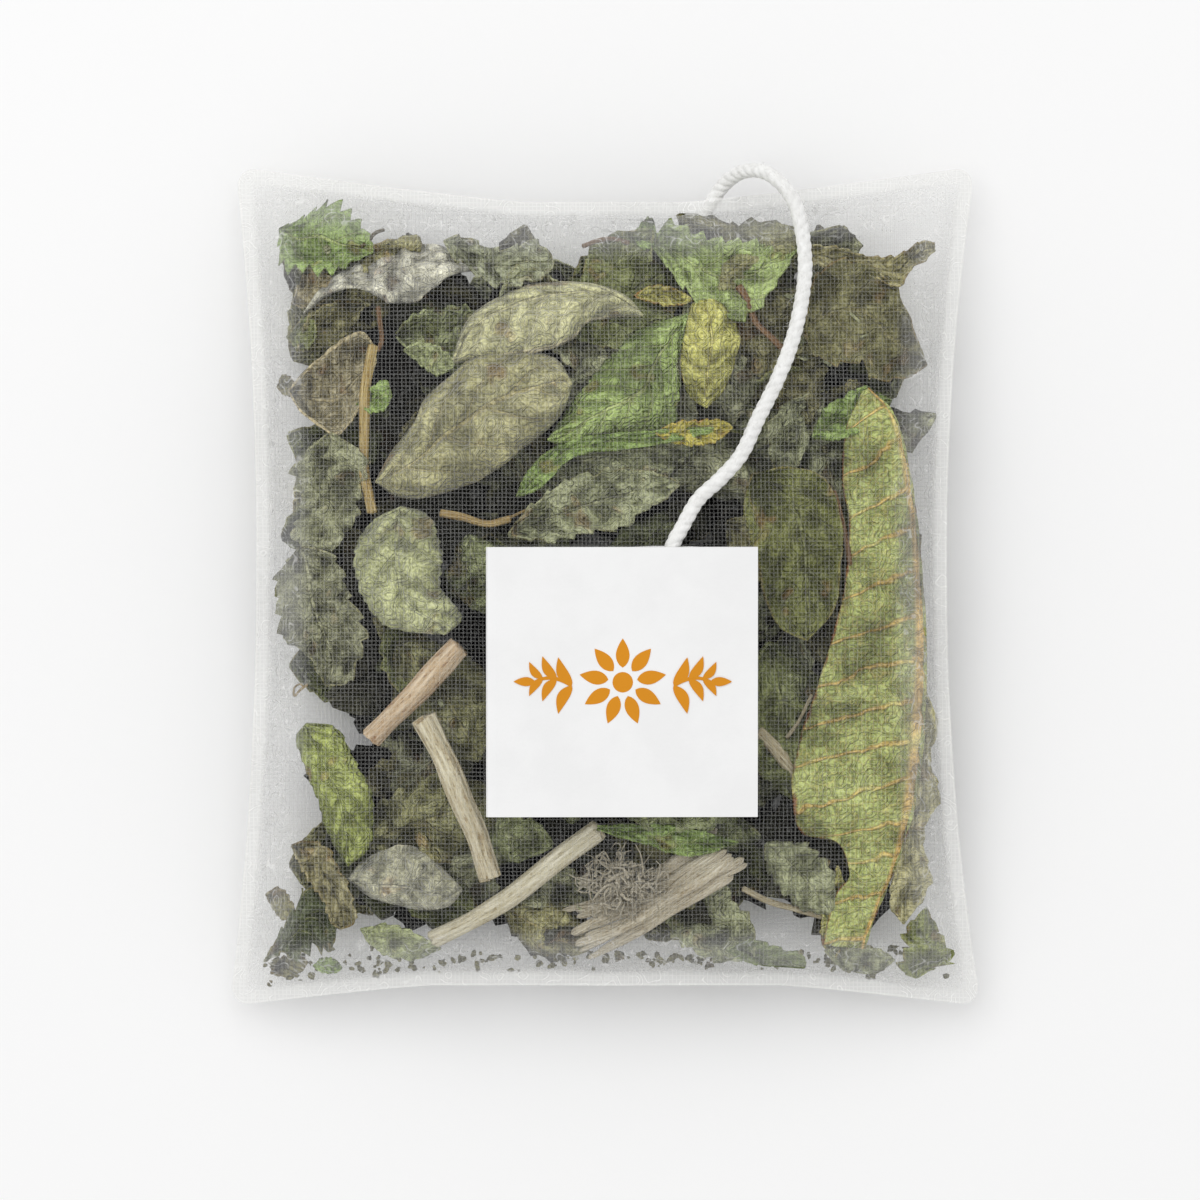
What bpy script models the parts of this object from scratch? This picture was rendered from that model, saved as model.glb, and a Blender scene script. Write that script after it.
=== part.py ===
"""A see-through gauze sachet of dried leaves and stems, with a cotton string and a folded card tag.

The sachet lies on its back: X runs across it, Y towards the seam that holds the string, Z up.
The origin is on the surface it lies on, under its middle. Sizes are in millimetres.
"""

import math
import random
from collections import namedtuple

import bpy
from mathutils import Matrix, Vector
from mathutils.geometry import intersect_line_line_2d

MM = 0.001

# The gauze bag
BAG_WIDTH = 70.8
BAG_HEIGHT = 79.1
BAG_DEPTH = 18.0
TOP_NARROWING = 1.1
LEFT_DIP = 2.4
RIGHT_DIP = 3.1
TOP_DIP = 3.5
BOTTOM_DIP = 2.1
CORNER_RADIUS = 1.5
SIDE_BOW = 2.1
TOP_STRAIGHT = 0.22
TOP_BOW = 1.15
BOTTOM_STRAIGHT = 0.45
BOTTOM_BOW = 1.2
SEAL_BAND = 1.6
GAUZE = 0.3
SEAM_HEIGHT = 7.4
CORNER_HEIGHT = 3.2
SEAM_RIPPLE = 0.3
RIPPLES = 5
REST_WIDTH = 27.0
REST_HEIGHT = 32.0
COLUMNS = 18
ROWS = 20

# How full the bag is: powers of its section, and how near the seal its filling comes
SECTION_POWER = 2.7
SECTION_ROUNDNESS = 0.52
FILL_EASE = 0.84
FILL_LIMIT = 0.94

# The filling
LEVELS = 9
LEAF = 0.2
LEAF_ROWS = 7
LEAF_COLUMNS = 5
LEAF_END = 0.12
STEM_ROWS = 7
STEM_ROUGHNESS = 1.1
BACK_ROWS = 4
BACK_COLUMNS = 3
BACK_LEAF_LENGTH = 14.0
BACK_LEAF_WIDTH = 9.0
BACK_LEAVES_ACROSS = 4
BACK_LEAVES_REACH = 0.66
BACK_LEAVES_UNEVEN = 0.05
SHORT_STEM = 2.2
LONG_STEM = 2.1
SLANT_STEM = 1.9
THIN_STEM = 0.9
BARK_WIDTH = 4.4
BARK_THICKNESS = 2.4

# The cotton string
STRING = 1.4
STRING_STEP = 3.2
CHANNEL_FOOT = 2.6
CHANNEL_TOP = 1.4
CHANNEL_START = 0.88
CHANNEL_FULL = 0.94

# The card tag, folded at its left edge over the end of the string
TAG_SIDE = 25.0
CARD = 0.25
CARD_GAP = 0.35
TAG_ACROSS = 1.6
TAG_ALONG = -8.9
TAG_BEND = 0.75
TAG_STEP_FOOT = 2.2
TAG_STEP_START = 1.0
TAG_STEP_END = 4.0
STRING_HELD = 10.0
STRING_ACROSS_TAG = 16.6

# The clearance that touching pieces keep, and the one inside the filling
TOUCH = 0.3
LOOSE = 0.12

Hue = namedtuple("Hue", "name red green blue roughness alpha", defaults=(0.8, 1.0))
WHITE_GAUZE = Hue("gauze", 240, 240, 242, 0.7, 0.3)
COTTON = Hue("cotton", 247, 246, 243, 0.9)
CARD_WHITE = Hue("card", 244, 244, 243, 0.6)
OLIVE = Hue("olive_leaf", 148, 146, 92)
OLIVE_DARK = Hue("dark_olive_leaf", 98, 98, 62)
GREEN = Hue("green_leaf", 112, 140, 70)
LIME = Hue("yellow_green_leaf", 172, 170, 100)
SAGE = Hue("sage_leaf", 172, 174, 132)
KHAKI = Hue("khaki_leaf", 132, 130, 90)
MOSS = Hue("moss_leaf", 128, 138, 92)
MOSS_DARK = Hue("dark_moss_leaf", 78, 88, 54)
SILVER = Hue("silver_leaf", 196, 196, 168)
SILVER_GREEN = Hue("silver_green_leaf", 150, 156, 122)
GREY_GREEN = Hue("grey_green_leaf", 122, 128, 100)
BARK_BROWN = Hue("brown_leaf", 134, 124, 98)
UMBER = Hue("umber_leaf", 94, 90, 64)
STRAW = Hue("pale_stem", 190, 176, 140)
OCHRE = Hue("ochre_stem", 186, 156, 92)

# at is the middle of the chord from base to tip, as shares of half the bag's width and height,
# turn is the chord's angle from +X in degrees, bow is how far the midrib stands off the chord to
# its left, half_widths are to the left and right of the midrib, widest is where along it they
# hold, curl lifts the edges above the midrib, or lowers them, and teeth cuts the edge.
Leaf = namedtuple("Leaf", "name hue at turn length half_widths bow widest curl teeth")
Stem = namedtuple("Stem", "name hue at turn length bow width thickness taper flutes")

FRONT = (
    Leaf("long_leaf", OLIVE, (0.69, -0.20), -90, 52.4, (0.7, 10.2), 5.0, 0.55, -0.6, 0.0),
    Leaf("yellow_leaf", LIME, (0.28, 0.55), 87, 9.7, (2.5, 2.4), 0.3, 0.5, -0.7, 0.0),
    Leaf("halfmoon_leaf", SAGE, (-0.15, 0.59), -168, 17.5, (1.3, 3.6), -2.6, 0.5, 0.6, 0.0),
    Leaf("broad_leaf", KHAKI, (-0.34, 0.36), 30, 20.2, (4.2, 4.4), 0.8, 0.55, 0.5, 0.0),
    Leaf("mint_leaf", GREEN, (0.0, 0.42), -135, 23.2, (3.4, 4.2), -0.6, 0.42, -0.7, 0.07),
    Stem("short_stem", STRAW, (-0.50, -0.25), -135, 12.2, 0.0, SHORT_STEM, SHORT_STEM, 0.9, 0.0),
    Stem("long_stem", STRAW, (-0.392, -0.50), -68, 15.8, 0.5, LONG_STEM, LONG_STEM, 0.8, 0.0),
    Stem("slant_stem", STRAW, (-0.24, -0.72), -143, 19.4, 0.2, SLANT_STEM, SLANT_STEM, 0.85, 0.0),
    Stem("bark_strip", STRAW, (0.13, -0.74), 34, 18.3, 0.0, BARK_WIDTH, BARK_THICKNESS, 0.55, 0.16),
    Stem("yellow_stem", OCHRE, (-0.61, 0.37), -91, 15.6, -0.9, THIN_STEM, THIN_STEM, 1.0, 0.0),
    Leaf("arched_leaf", SILVER, (-0.57, 0.71), 11, 16.6, (1.8, 2.4), 2.6, 0.5, 0.7, 0.0),
    Leaf("round_leaf", MOSS, (-0.49, 0.04), -66, 12.3, (4.2, 4.0), -0.8, 0.45, -0.2, 0.06),
    Leaf("corner_leaf", GREEN, (-0.75, 0.81), 13, 8.2, (3.0, 2.6), 0.0, 0.4, 0.3, 0.2),
    Leaf("shell_leaf", BARK_BROWN, (-0.72, 0.49), 19, 8.1, (3.2, 3.4), 0.0, 0.5, 0.8, 0.0),
    Leaf("shoulder_leaf", UMBER, (0.69, 0.62), 78, 13.0, (3.2, 4.0), -0.8, 0.5, 0.3, 0.1),
    Leaf("rolled_leaf", UMBER, (0.73, 0.79), -3, 10.3, (1.3, 1.5), -0.6, 0.5, 0.9, 0.15),
    Leaf("top_left_leaf", MOSS, (0.11, 0.77), 31, 12.2, (3.0, 2.8), 0.6, 0.45, 0.4, 0.15),
    Leaf("top_right_leaf", OLIVE_DARK, (0.38, 0.75), 34, 11.4, (3.2, 3.4), 0.8, 0.5, -0.3, 0.1),
    Leaf("lobed_leaf", GREY_GREEN, (-0.28, 0.76), 20, 10.9, (2.4, 2.6), 0.8, 0.5, 0.4, 0.2),
    Leaf("dark_leaf", MOSS_DARK, (0.45, 0.07), -77, 16.1, (4.2, 3.8), 0.6, 0.4, 0.4, 0.0),
    Leaf("scrap_leaf", LIME, (0.24, 0.38), 31, 7.2, (1.7, 1.6), 0.0, 0.5, 0.3, 0.12),
    Leaf("tag_side_leaf", GREY_GREEN, (-0.03, 0.18), 17, 15.6, (2.6, 2.4), 0.5, 0.5, 0.5, 0.1),
    Leaf("upper_left_leaf", SILVER_GREEN, (-0.77, 0.21), -97, 12.0, (3.0, 3.2), 0.6, 0.5, 0.6, 0.12),
    Leaf("lower_left_leaf", SILVER_GREEN, (-0.75, -0.10), -69, 12.6, (3.2, 3.0), -0.8, 0.45, 0.6, 0.12),
    Leaf("drooping_leaf", GREEN, (-0.73, -0.50), -70, 14.1, (2.8, 3.0), 0.9, 0.5, -0.4, 0.1),
    Leaf("folded_leaf", SILVER, (-0.52, -0.71), -1, 11.2, (1.4, 2.8), 1.6, 0.5, 0.7, 0.0),
    Leaf("curled_leaf", UMBER, (-0.76, -0.71), -54, 9.2, (1.8, 2.0), 0.0, 0.5, 0.9, 0.1),
    Leaf("foot_left_leaf", MOSS_DARK, (-0.80, -0.81), 47, 8.4, (2.8, 2.6), 0.0, 0.45, 0.3, 0.22),
    Leaf("foot_right_leaf", MOSS, (0.44, -0.86), -11, 7.8, (1.9, 1.8), 0.0, 0.45, 0.3, 0.15),
    Leaf("foot_corner_leaf", MOSS_DARK, (0.82, -0.86), 74, 6.8, (2.2, 1.9), 0.0, 0.45, 0.3, 0.2),
    Leaf("side_leaf", OLIVE_DARK, (0.86, -0.52), -89, 17.7, (1.8, 2.2), 0.8, 0.5, 0.5, 0.15),
    Leaf("hem_leaf", GREY_GREEN, (0.51, -0.69), -47, 8.0, (2.4, 2.4), 0.4, 0.5, -0.6, 0.12),
    Leaf("inner_left_leaf", OLIVE_DARK, (-0.44, -0.27), -56, 13.5, (4.4, 4.2), 0.6, 0.5, -0.3, 0.0),
    Leaf("inner_top_leaf", MOSS_DARK, (0.05, 0.69), 28, 13.8, (4.6, 4.8), 0.0, 0.5, 0.3, 0.0),
    Leaf("inner_right_leaf", MOSS_DARK, (0.47, -0.32), -79, 15.2, (4.6, 4.4), 0.0, 0.5, -0.3, 0.0),
    Leaf("middle_top_leaf", UMBER, (0.44, 0.56), -62, 15.6, (4.6, 4.4), 0.6, 0.5, -0.7, 0.08),
    Leaf("middle_right_leaf", GREY_GREEN, (0.43, 0.33), 22, 14.8, (4.0, 4.2), 0.6, 0.5, -0.3, 0.08),
    Leaf("middle_left_leaf", GREY_GREEN, (0.03, 0.30), 10, 15.4, (4.0, 3.8), 0.4, 0.5, -0.3, 0.08),
    Leaf("middle_hem_leaf", MOSS, (0.21, -0.51), 4, 12.6, (3.6, 3.4), 0.4, 0.5, -0.5, 0.08),
    Leaf("middle_foot_leaf", OLIVE_DARK, (-0.46, -0.56), 18, 15.0, (4.2, 4.2), 0.4, 0.5, -0.3, 0.08),
)

# The middle line of the string, from its end inside the top seam to its end between the tag's leaves
STRING_ROUTE = (
    (8.5, 34.0, 7.0),
    (9.8, 35.8, 7.0),
    (10.9, 37.4, 7.4),
    (12.2, 38.5, 8.8),
    (13.7, 38.9, 10.6),
    (15.2, 38.5, 12.0),
    (16.7, 37.2, 12.8),
    (17.8, 35.3, 13.0),
    (18.4, 32.6, 13.4),
    (18.6, 29.6, 14.4),
    (18.2, 26.2, 15.5),
    (17.3, 22.6, 16.5),
    (15.9, 19.0, 17.3),
    (14.2, 15.6, 17.9),
    (12.6, 12.2, 18.4),
    (10.6, 9.9, 18.7),
    (8.6, 8.0, 19.1),
    (7.2, 5.6, 19.7),
    (6.2, 3.7, 20.0),
    (5.7, 1.2, 19.9),
    (5.7, -2.4, 19.7),
    (5.7, -6.2, 19.5),
)


def clear_scene():
    for old in list(bpy.data.objects):
        bpy.data.objects.remove(old, do_unlink=True)


def linear(value):
    share = value / 255
    return share / 12.92 if share <= 0.04045 else ((share + 0.055) / 1.055) ** 2.4


def material(hue):
    found = bpy.data.materials.get(hue.name)
    if found:
        return found
    made = bpy.data.materials.new(hue.name)
    made.use_nodes = True
    shader = made.node_tree.nodes["Principled BSDF"]
    shader.inputs["Base Color"].default_value = (*map(linear, hue[1:4]), 1.0)
    shader.inputs["Roughness"].default_value = hue.roughness
    shader.inputs["Alpha"].default_value = hue.alpha
    return made


def blend(start, end, share):
    return start + (end - start) * share


# The bag's outline. u runs from -1 at its left edge to 1 at its right, v from -1 to 1 up it.
def dip(t, flat, power):
    """1 in the middle of an edge and 0 at its corners."""
    return 1 - (max(0.0, abs(t) - flat) / (1 - flat)) ** power


def left_edge(v):
    corner = -BAG_WIDTH / 2 + TOP_NARROWING * (v + 1) / 4
    return corner + LEFT_DIP * dip(v, 0.0, SIDE_BOW)


def right_edge(v):
    corner = BAG_WIDTH / 2 - TOP_NARROWING * (v + 1) / 4
    return corner - RIGHT_DIP * dip(v, 0.0, SIDE_BOW)


def top_edge(u):
    return BAG_HEIGHT / 2 - TOP_DIP * dip(u, TOP_STRAIGHT, TOP_BOW)


def bottom_edge(u):
    return -BAG_HEIGHT / 2 + BOTTOM_DIP * dip(u, BOTTOM_STRAIGHT, BOTTOM_BOW)


def plan(u, v):
    across = blend(left_edge(v), right_edge(v), (u + 1) / 2)
    along = blend(bottom_edge(u), top_edge(u), (v + 1) / 2)
    return across, along


def shares(x, y):
    """The u and v of a point on the plan."""
    u = 2 * x / BAG_WIDTH
    v = 2 * y / BAG_HEIGHT
    for _ in range(8):
        u = 2 * (x - left_edge(v)) / (right_edge(v) - left_edge(v)) - 1
        v = 2 * (y - bottom_edge(u)) / (top_edge(u) - bottom_edge(u)) - 1
    return u, v


def seal_start(size):
    return 1 - 2 * SEAL_BAND / size


def section(t, flat=0.0):
    """How far the sheets have parted at a share t of the way out to the seal."""
    outside = max(0.0, abs(t) - flat) / (1 - flat)
    return (1 - min(outside, 1.0) ** SECTION_POWER) ** SECTION_ROUNDNESS


def seam_height(u, v):
    ripple = math.cos(math.pi * RIPPLES * u) * v**8 + math.cos(math.pi * RIPPLES * v) * u**8
    return blend(SEAM_HEIGHT, CORNER_HEIGHT, (u * v) ** 2) + SEAM_RIPPLE * ripple * (1 - (u * v) ** 4)


def ceiling(u, v):
    """The inner face of the front sheet."""
    seam = seam_height(u, v) + TOUCH / 2
    parted = section(u / seal_start(BAG_WIDTH)) * section(v / seal_start(BAG_HEIGHT))
    return blend(seam, BAG_DEPTH - GAUZE, parted) + string_channel(u, v)


def floor(u, v):
    """The inner face of the back sheet, flat where the bag lies on it."""
    seam = seam_height(u, v) - TOUCH / 2
    across = section(u / seal_start(BAG_WIDTH), REST_WIDTH / BAG_WIDTH)
    along = section(v / seal_start(BAG_HEIGHT), REST_HEIGHT / BAG_HEIGHT)
    return blend(seam, GAUZE, across * along) - string_channel(u, v)


def string_channel(u, v):
    """How far each sheet stands off the other's middle to let the string through the top seam."""
    if v < 0.5:
        return 0.0
    off = abs(plan(u, v)[0] - STRING_ROUTE[1][0])
    rise = STRING / 2 + TOUCH - TOUCH / 2
    fade = min(1.0, max(0.0, (v - CHANNEL_START) / (CHANNEL_FULL - CHANNEL_START)))
    slope = (CHANNEL_FOOT - CHANNEL_TOP) * STRING
    return rise * fade * min(1.0, max(0.0, (CHANNEL_FOOT * STRING - off) / slope))


def cell_lines(count, seal, extra=()):
    """Lines of the sheet's grid from -1 to 1, closer towards the seal, with the seal's own two."""
    lines = [-1.0, 1.0]
    for i in range(count + 1):
        even = 2 * i / count - 1
        lines.append(seal * blend(even, math.sin(math.pi * even / 2), 0.55))
    lines = [line for line in lines if all(abs(line - more) > 0.024 for more in extra)]
    return sorted([*lines, *extra])


def sheet(name, rows, thickness, hue, offset=-1.0):
    """A thin closed piece from rows of points, thickened away from their upper side."""
    wide = len(rows[0])
    points = [Vector(p) * MM for row in rows for p in row]
    faces = []
    for i in range(len(rows) - 1):
        for j in range(wide - 1):
            a = i * wide + j
            faces.append((a, a + 1, a + 1 + wide, a + wide))
    mesh = bpy.data.meshes.new(name)
    mesh.from_pydata(points, [], faces)
    mesh.shade_smooth()
    made = bpy.data.objects.new(name, mesh)
    bpy.context.collection.objects.link(made)
    made.data.materials.append(material(hue))
    solid = made.modifiers.new("thickness", "SOLIDIFY")
    solid.thickness = thickness * MM
    solid.offset = offset
    solid.use_even_offset = True
    return made


def gauze_sheets():
    """Two sheets of gauze, sealed to each other all round, with the string passing out at the top."""
    exit_x, exit_y = STRING_ROUTE[1][:2]
    sides = (-CHANNEL_FOOT, -CHANNEL_TOP, CHANNEL_TOP, CHANNEL_FOOT)
    channel = [shares(exit_x + side * STRING, exit_y)[0] for side in sides]
    across = cell_lines(COLUMNS, seal_start(BAG_WIDTH), channel)
    along = cell_lines(ROWS, seal_start(BAG_HEIGHT))
    cut = CORNER_RADIUS * (1 - math.sqrt(0.5))
    for name, height, turned in (("gauze_front", ceiling, False), ("gauze_back", floor, True)):
        rows = []
        for v in along:
            row = []
            for u in across:
                x, y = plan(u, v)
                if abs(u) == 1 and abs(v) == 1:
                    x -= math.copysign(cut, u)
                    y -= math.copysign(cut, v)
                row.append((x, y, height(u, v)))
            rows.append(row[::-1] if turned else row)
        sheet(name, rows, GAUZE, WHITE_GAUZE, offset=1.0)


def eased(t):
    """A share of the way to the seal, held off it as a leaf bends in against the gauze."""
    if abs(t) <= FILL_EASE:
        return t
    room = FILL_LIMIT - FILL_EASE
    return math.copysign(FILL_EASE + room * (1 - math.exp((FILL_EASE - abs(t)) / room)), t)


def held_in(x, y):
    """A point of the plan, moved in where it would come too near the seal."""
    u, v = shares(x, y)
    u = eased(u / seal_start(BAG_WIDTH)) * seal_start(BAG_WIDTH)
    v = eased(v / seal_start(BAG_HEIGHT)) * seal_start(BAG_HEIGHT)
    return plan(u, v)


def spine(piece, t):
    """The point and the left-hand normal of a piece's middle line, t from 0 at its base to 1."""
    turn = math.radians(piece.turn)
    ahead = Vector((math.cos(turn), math.sin(turn)))
    left = Vector((-ahead.y, ahead.x))
    middle = Vector((piece.at[0] * BAG_WIDTH / 2, piece.at[1] * BAG_HEIGHT / 2))
    point = middle + ahead * piece.length * (t - 0.5) + left * piece.bow * 4 * t * (1 - t)
    slope = ahead * piece.length + left * piece.bow * 4 * (1 - 2 * t)
    slope.normalize()
    return point, Vector((-slope.y, slope.x))


def leaf_width(leaf, t, row):
    """The share of its full width that a leaf has at t, narrow but never a bare point at its ends."""
    full = math.sin(math.pi * t ** (math.log(0.5) / math.log(leaf.widest))) ** 0.7 if 0 < t < 1 else 0.0
    tooth = 1 + leaf.teeth * (-1) ** row
    return max(LEAF_END, full * tooth)


def leaf_plan(leaf, row_count, column_count):
    rows = []
    for i in range(row_count):
        t = i / (row_count - 1)
        point, left = spine(leaf, t)
        share = leaf_width(leaf, t, i)
        row = []
        for j in range(column_count):
            side = 1 - 2 * j / (column_count - 1)
            half = leaf.half_widths[0] if side > 0 else leaf.half_widths[1]
            x, y = held_in(*(point + left * side * half * share))
            row.append((x, y, t, side))
        rows.append(row)
    return rows


def stem_plan(stem):
    along = [i / (STEM_ROWS - 1) for i in range(STEM_ROWS)]
    return [(held_in(*spine(stem, t)[0]), t) for t in along]


def outline(piece, row_count=LEAF_ROWS, column_count=LEAF_COLUMNS):
    """The piece's outline on the plan, for telling which pieces lie over each other."""
    if isinstance(piece, Stem):
        left, right = [], []
        for (x, y), t in stem_plan(piece):
            normal = spine(piece, t)[1] * (piece.width / 2 + LOOSE)
            left.append(Vector((x, y)) + normal)
            right.append(Vector((x, y)) - normal)
        return left + right[::-1]
    rows = leaf_plan(piece, row_count, column_count)
    ring = [row[0] for row in rows] + rows[-1][1:-1] + [row[-1] for row in rows[::-1]] + rows[0][1:-1][::-1]
    return [Vector(point[:2]) for point in ring]


def holds(ring, point):
    inside = False
    for a, b in zip(ring, ring[1:] + ring[:1]):
        if (a.y > point.y) != (b.y > point.y):
            if point.x < a.x + (b.x - a.x) * (point.y - a.y) / (b.y - a.y):
                inside = not inside
    return inside


def cross(one, other):
    if holds(one, other[0]) or holds(other, one[0]):
        return True
    for a, b in zip(one, one[1:] + one[:1]):
        for c, d in zip(other, other[1:] + other[:1]):
            if intersect_line_line_2d(a, b, c, d):
                return True
    return False


def levels_taken(piece, total):
    """How many levels a piece needs where the bag is thinnest along it."""
    if isinstance(piece, Leaf):
        return 1
    room = []
    for (x, y), _ in stem_plan(piece):
        u, v = shares(x, y)
        room.append((ceiling(u, v) - floor(u, v) - 2 * TOUCH) / total)
    return math.ceil((piece.thickness * STEM_ROUGHNESS + 2 * LOOSE) / min(room))


def stack(pieces, total, row_count=LEAF_ROWS, column_count=LEAF_COLUMNS):
    """The first level of each piece, counted in from its sheet, and how many levels all take."""
    placed = []
    for piece in pieces:
        ring = outline(piece, row_count, column_count)
        level = 0
        for other, first, count in placed:
            if cross(ring, other):
                level = max(level, first + count)
        placed.append((ring, level, levels_taken(piece, total)))
    return [level for _, level, _ in placed], max(level + count for _, level, count in placed)


def back_leaves():
    """Leaves against the back sheet, in rows that the filling's weight has pressed even."""
    chance = random.Random(11)
    hues = (OLIVE_DARK, MOSS, KHAKI, GREY_GREEN, MOSS_DARK, OLIVE)
    places = [BACK_LEAVES_REACH * (2 * i / (BACK_LEAVES_ACROSS - 1) - 1) for i in range(BACK_LEAVES_ACROSS)]
    made = []
    for i, up in enumerate(places):
        for j, across in enumerate(places):
            off = [chance.uniform(-BACK_LEAVES_UNEVEN, BACK_LEAVES_UNEVEN) for _ in range(2)]
            at = (across + off[0], up + off[1])
            half = BACK_LEAF_WIDTH / 2 * chance.uniform(0.8, 1.1)
            length = BACK_LEAF_LENGTH * chance.uniform(0.85, 1.1)
            hue = hues[(i * 4 + j * 3) % len(hues)]
            turn = chance.uniform(0, 360)
            bow = chance.uniform(-1, 1)
            curl = chance.uniform(-0.6, 0.6)
            name = f"back_leaf_{len(made) + 1:02d}"
            made.append(Leaf(name, hue, at, turn, length, (half, half), bow, 0.5, curl, 0.08))
    return made


def level_top(x, y, level, total):
    """The height where a level starts, counted down from the front sheet."""
    u, v = shares(x, y)
    low = floor(u, v) + TOUCH
    high = ceiling(u, v) - TOUCH
    return blend(high, low, level / total), (high - low) / total


def leaf(piece, level, total, row_count, column_count, on_back=False):
    """A curled leaf, lying within one level of the filling, against the side that its sheet is on."""
    rows = []
    for plan_row in leaf_plan(piece, row_count, column_count):
        row = []
        for x, y, _, side in plan_row:
            top, room = level_top(x, y, level, total)
            play = max(0.0, room - LEAF - 2 * LOOSE)
            away = abs(piece.curl) * (1 - side * side if piece.curl > 0 else side * side)
            row.append((x, y, top - LOOSE - play * (1 - away if on_back else away)))
        rows.append(row[::-1])
    sheet(piece.name, rows, LEAF, piece.hue)


def stem(piece, level, total, sides=8):
    """A stem or a strip of bark, lofted through rings along its middle line."""
    sides = 14 if piece.flutes else sides
    plan_points = stem_plan(piece)
    centres = []
    for (x, y), t in plan_points:
        reach = spine(piece, t)[1] * piece.width / 2
        top = min(level_top(x + reach.x * side, y + reach.y * side, level, total)[0] for side in (-1, 0, 1))
        centres.append(Vector((x, y, top - LOOSE - piece.thickness * STEM_ROUGHNESS / 2)))
    points = []
    for i, centre in enumerate(centres):
        ahead = centres[min(i + 1, len(centres) - 1)] - centres[max(i - 1, 0)]
        ahead.normalize()
        side = ahead.cross(Vector((0, 0, 1))).normalized()
        up = side.cross(ahead)
        size = blend(1.0, piece.taper, plan_points[i][1])
        for k in range(sides):
            angle = 2 * math.pi * k / sides
            reach = size * (1 - piece.flutes * (k % 2))
            offset = side * math.cos(angle) * piece.width + up * math.sin(angle) * piece.thickness
            points.append((centre + offset * reach / 2) * MM)
    faces = [tuple(range(sides)), tuple(range(len(points) - sides, len(points)))[::-1]]
    for i in range(len(centres) - 1):
        for k in range(sides):
            a = i * sides + k
            b = i * sides + (k + 1) % sides
            faces.append((a, a + sides, b + sides, b))
    mesh = bpy.data.meshes.new(piece.name)
    mesh.from_pydata(points, [], faces)
    mesh.shade_smooth()
    mesh.set_sharp_from_angle(angle=math.radians(50))
    made = bpy.data.objects.new(piece.name, mesh)
    bpy.context.collection.objects.link(made)
    made.data.materials.append(material(piece.hue))


def filling():
    """Leaves and stems, each in a level of its own wherever two lie over each other."""
    behind = back_leaves()
    total = LEVELS
    for _ in range(6):
        front_levels, front_count = stack(FRONT, total)
        back_levels, back_count = stack(behind, total, BACK_ROWS, BACK_COLUMNS)
        if front_count + back_count <= total:
            break
        total = front_count + back_count
    for piece, level in zip(FRONT, front_levels):
        if isinstance(piece, Stem):
            stem(piece, level, total)
        else:
            leaf(piece, level, total, LEAF_ROWS, LEAF_COLUMNS)
    for piece, level in zip(behind, back_levels):
        leaf(piece, total - 1 - level, total, BACK_ROWS, BACK_COLUMNS, on_back=True)


def catmull(points, step):
    """Points a step apart on a smooth curve through the given ones."""
    fine = []
    padded = [points[0] * 2 - points[1], *points, points[-1] * 2 - points[-2]]
    for a, b, c, d in zip(padded, padded[1:], padded[2:], padded[3:]):
        for i in range(12):
            t = i / 12
            fine.append(0.5 * (2 * b + (c - a) * t + (2 * a - 5 * b + 4 * c - d) * t**2
                               + (3 * b - a - 3 * c + d) * t**3))
    fine.append(points[-1])
    lengths = [0.0]
    for a, b in zip(fine, fine[1:]):
        lengths.append(lengths[-1] + (b - a).length)
    count = round(lengths[-1] / step)
    even = []
    k = 0
    for i in range(count + 1):
        wanted = lengths[-1] * i / count
        while k < len(fine) - 2 and lengths[k + 1] < wanted:
            k += 1
        share = (wanted - lengths[k]) / (lengths[k + 1] - lengths[k])
        even.append(fine[k].lerp(fine[k + 1], min(share, 1.0)))
    return even


def string():
    """The cotton string, from inside the top seam to between the leaves of the tag."""
    curve = bpy.data.curves.new("string", "CURVE")
    curve.dimensions = "3D"
    curve.bevel_depth = STRING / 2 * MM
    curve.bevel_resolution = 2
    curve.use_fill_caps = True
    route = catmull([Vector(point) for point in STRING_ROUTE], STRING_STEP)
    line = curve.splines.new("POLY")
    line.points.add(len(route) - 1)
    for point, place in zip(line.points, route):
        point.co = (*(place * MM), 1.0)
    made = bpy.data.objects.new("string", curve)
    bpy.context.collection.objects.link(made)
    curve.materials.append(material(COTTON))


def tag_section(part, along, held):
    """A point of the card's middle line, x along the tag and z across it.

    The line runs from the front leaf's free edge to the fold at x = 0 and on to the back leaf's free
    edge, which steps back over the string by held, from 0 past the string's end to 1 beside it. along
    is x on the two leaves, and the angle round the fold in degrees.
    """
    radius = (CARD + CARD_GAP) / 2
    if part == "front":
        return along, 0.0
    if part == "fold":
        angle = math.radians(along)
        return radius * (1 - math.sin(angle)), -radius * (1 - math.cos(angle))
    off = abs(along - STRING_ACROSS_TAG)
    step = STRING + 2 * TOUCH - CARD_GAP
    rise = min(1.0, max(0.0, (TAG_STEP_FOOT * STRING - off) / ((TAG_STEP_FOOT - 1) * STRING)))
    return along, -2 * radius - step * rise * held


def tag():
    """The tag: a square card, folded in two, its leaves lying flat but for the string between them."""
    foot = TAG_STEP_FOOT * STRING
    steps = [STRING_ACROSS_TAG + off for off in (-foot, -STRING, STRING, foot)]
    around = [("front", x) for x in (TAG_SIDE, TAG_SIDE / 2, TAG_BEND)]
    around += [("fold", angle) for angle in (45, 90, 135)]
    around += [("back", x) for x in (TAG_BEND, *steps, TAG_SIDE)]
    lines = [(0.0, 1.0), (STRING_HELD / 2, 1.0), (STRING_HELD + TAG_STEP_START, 1.0),
             (STRING_HELD + TAG_STEP_END, 0.0), (TAG_SIDE, 0.0)]
    rows = []
    for down, held in lines:
        row = []
        for part, along in around:
            x, z = tag_section(part, along, held)
            row.append(Vector((x - TAG_SIDE / 2, TAG_SIDE / 2 - down, z)))
        rows.append(row)
    place = tag_place(rows)
    placed = [[place @ point for point in row] for row in rows]
    sheet("tag", placed, CARD, CARD_WHITE, offset=0.0)


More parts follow.
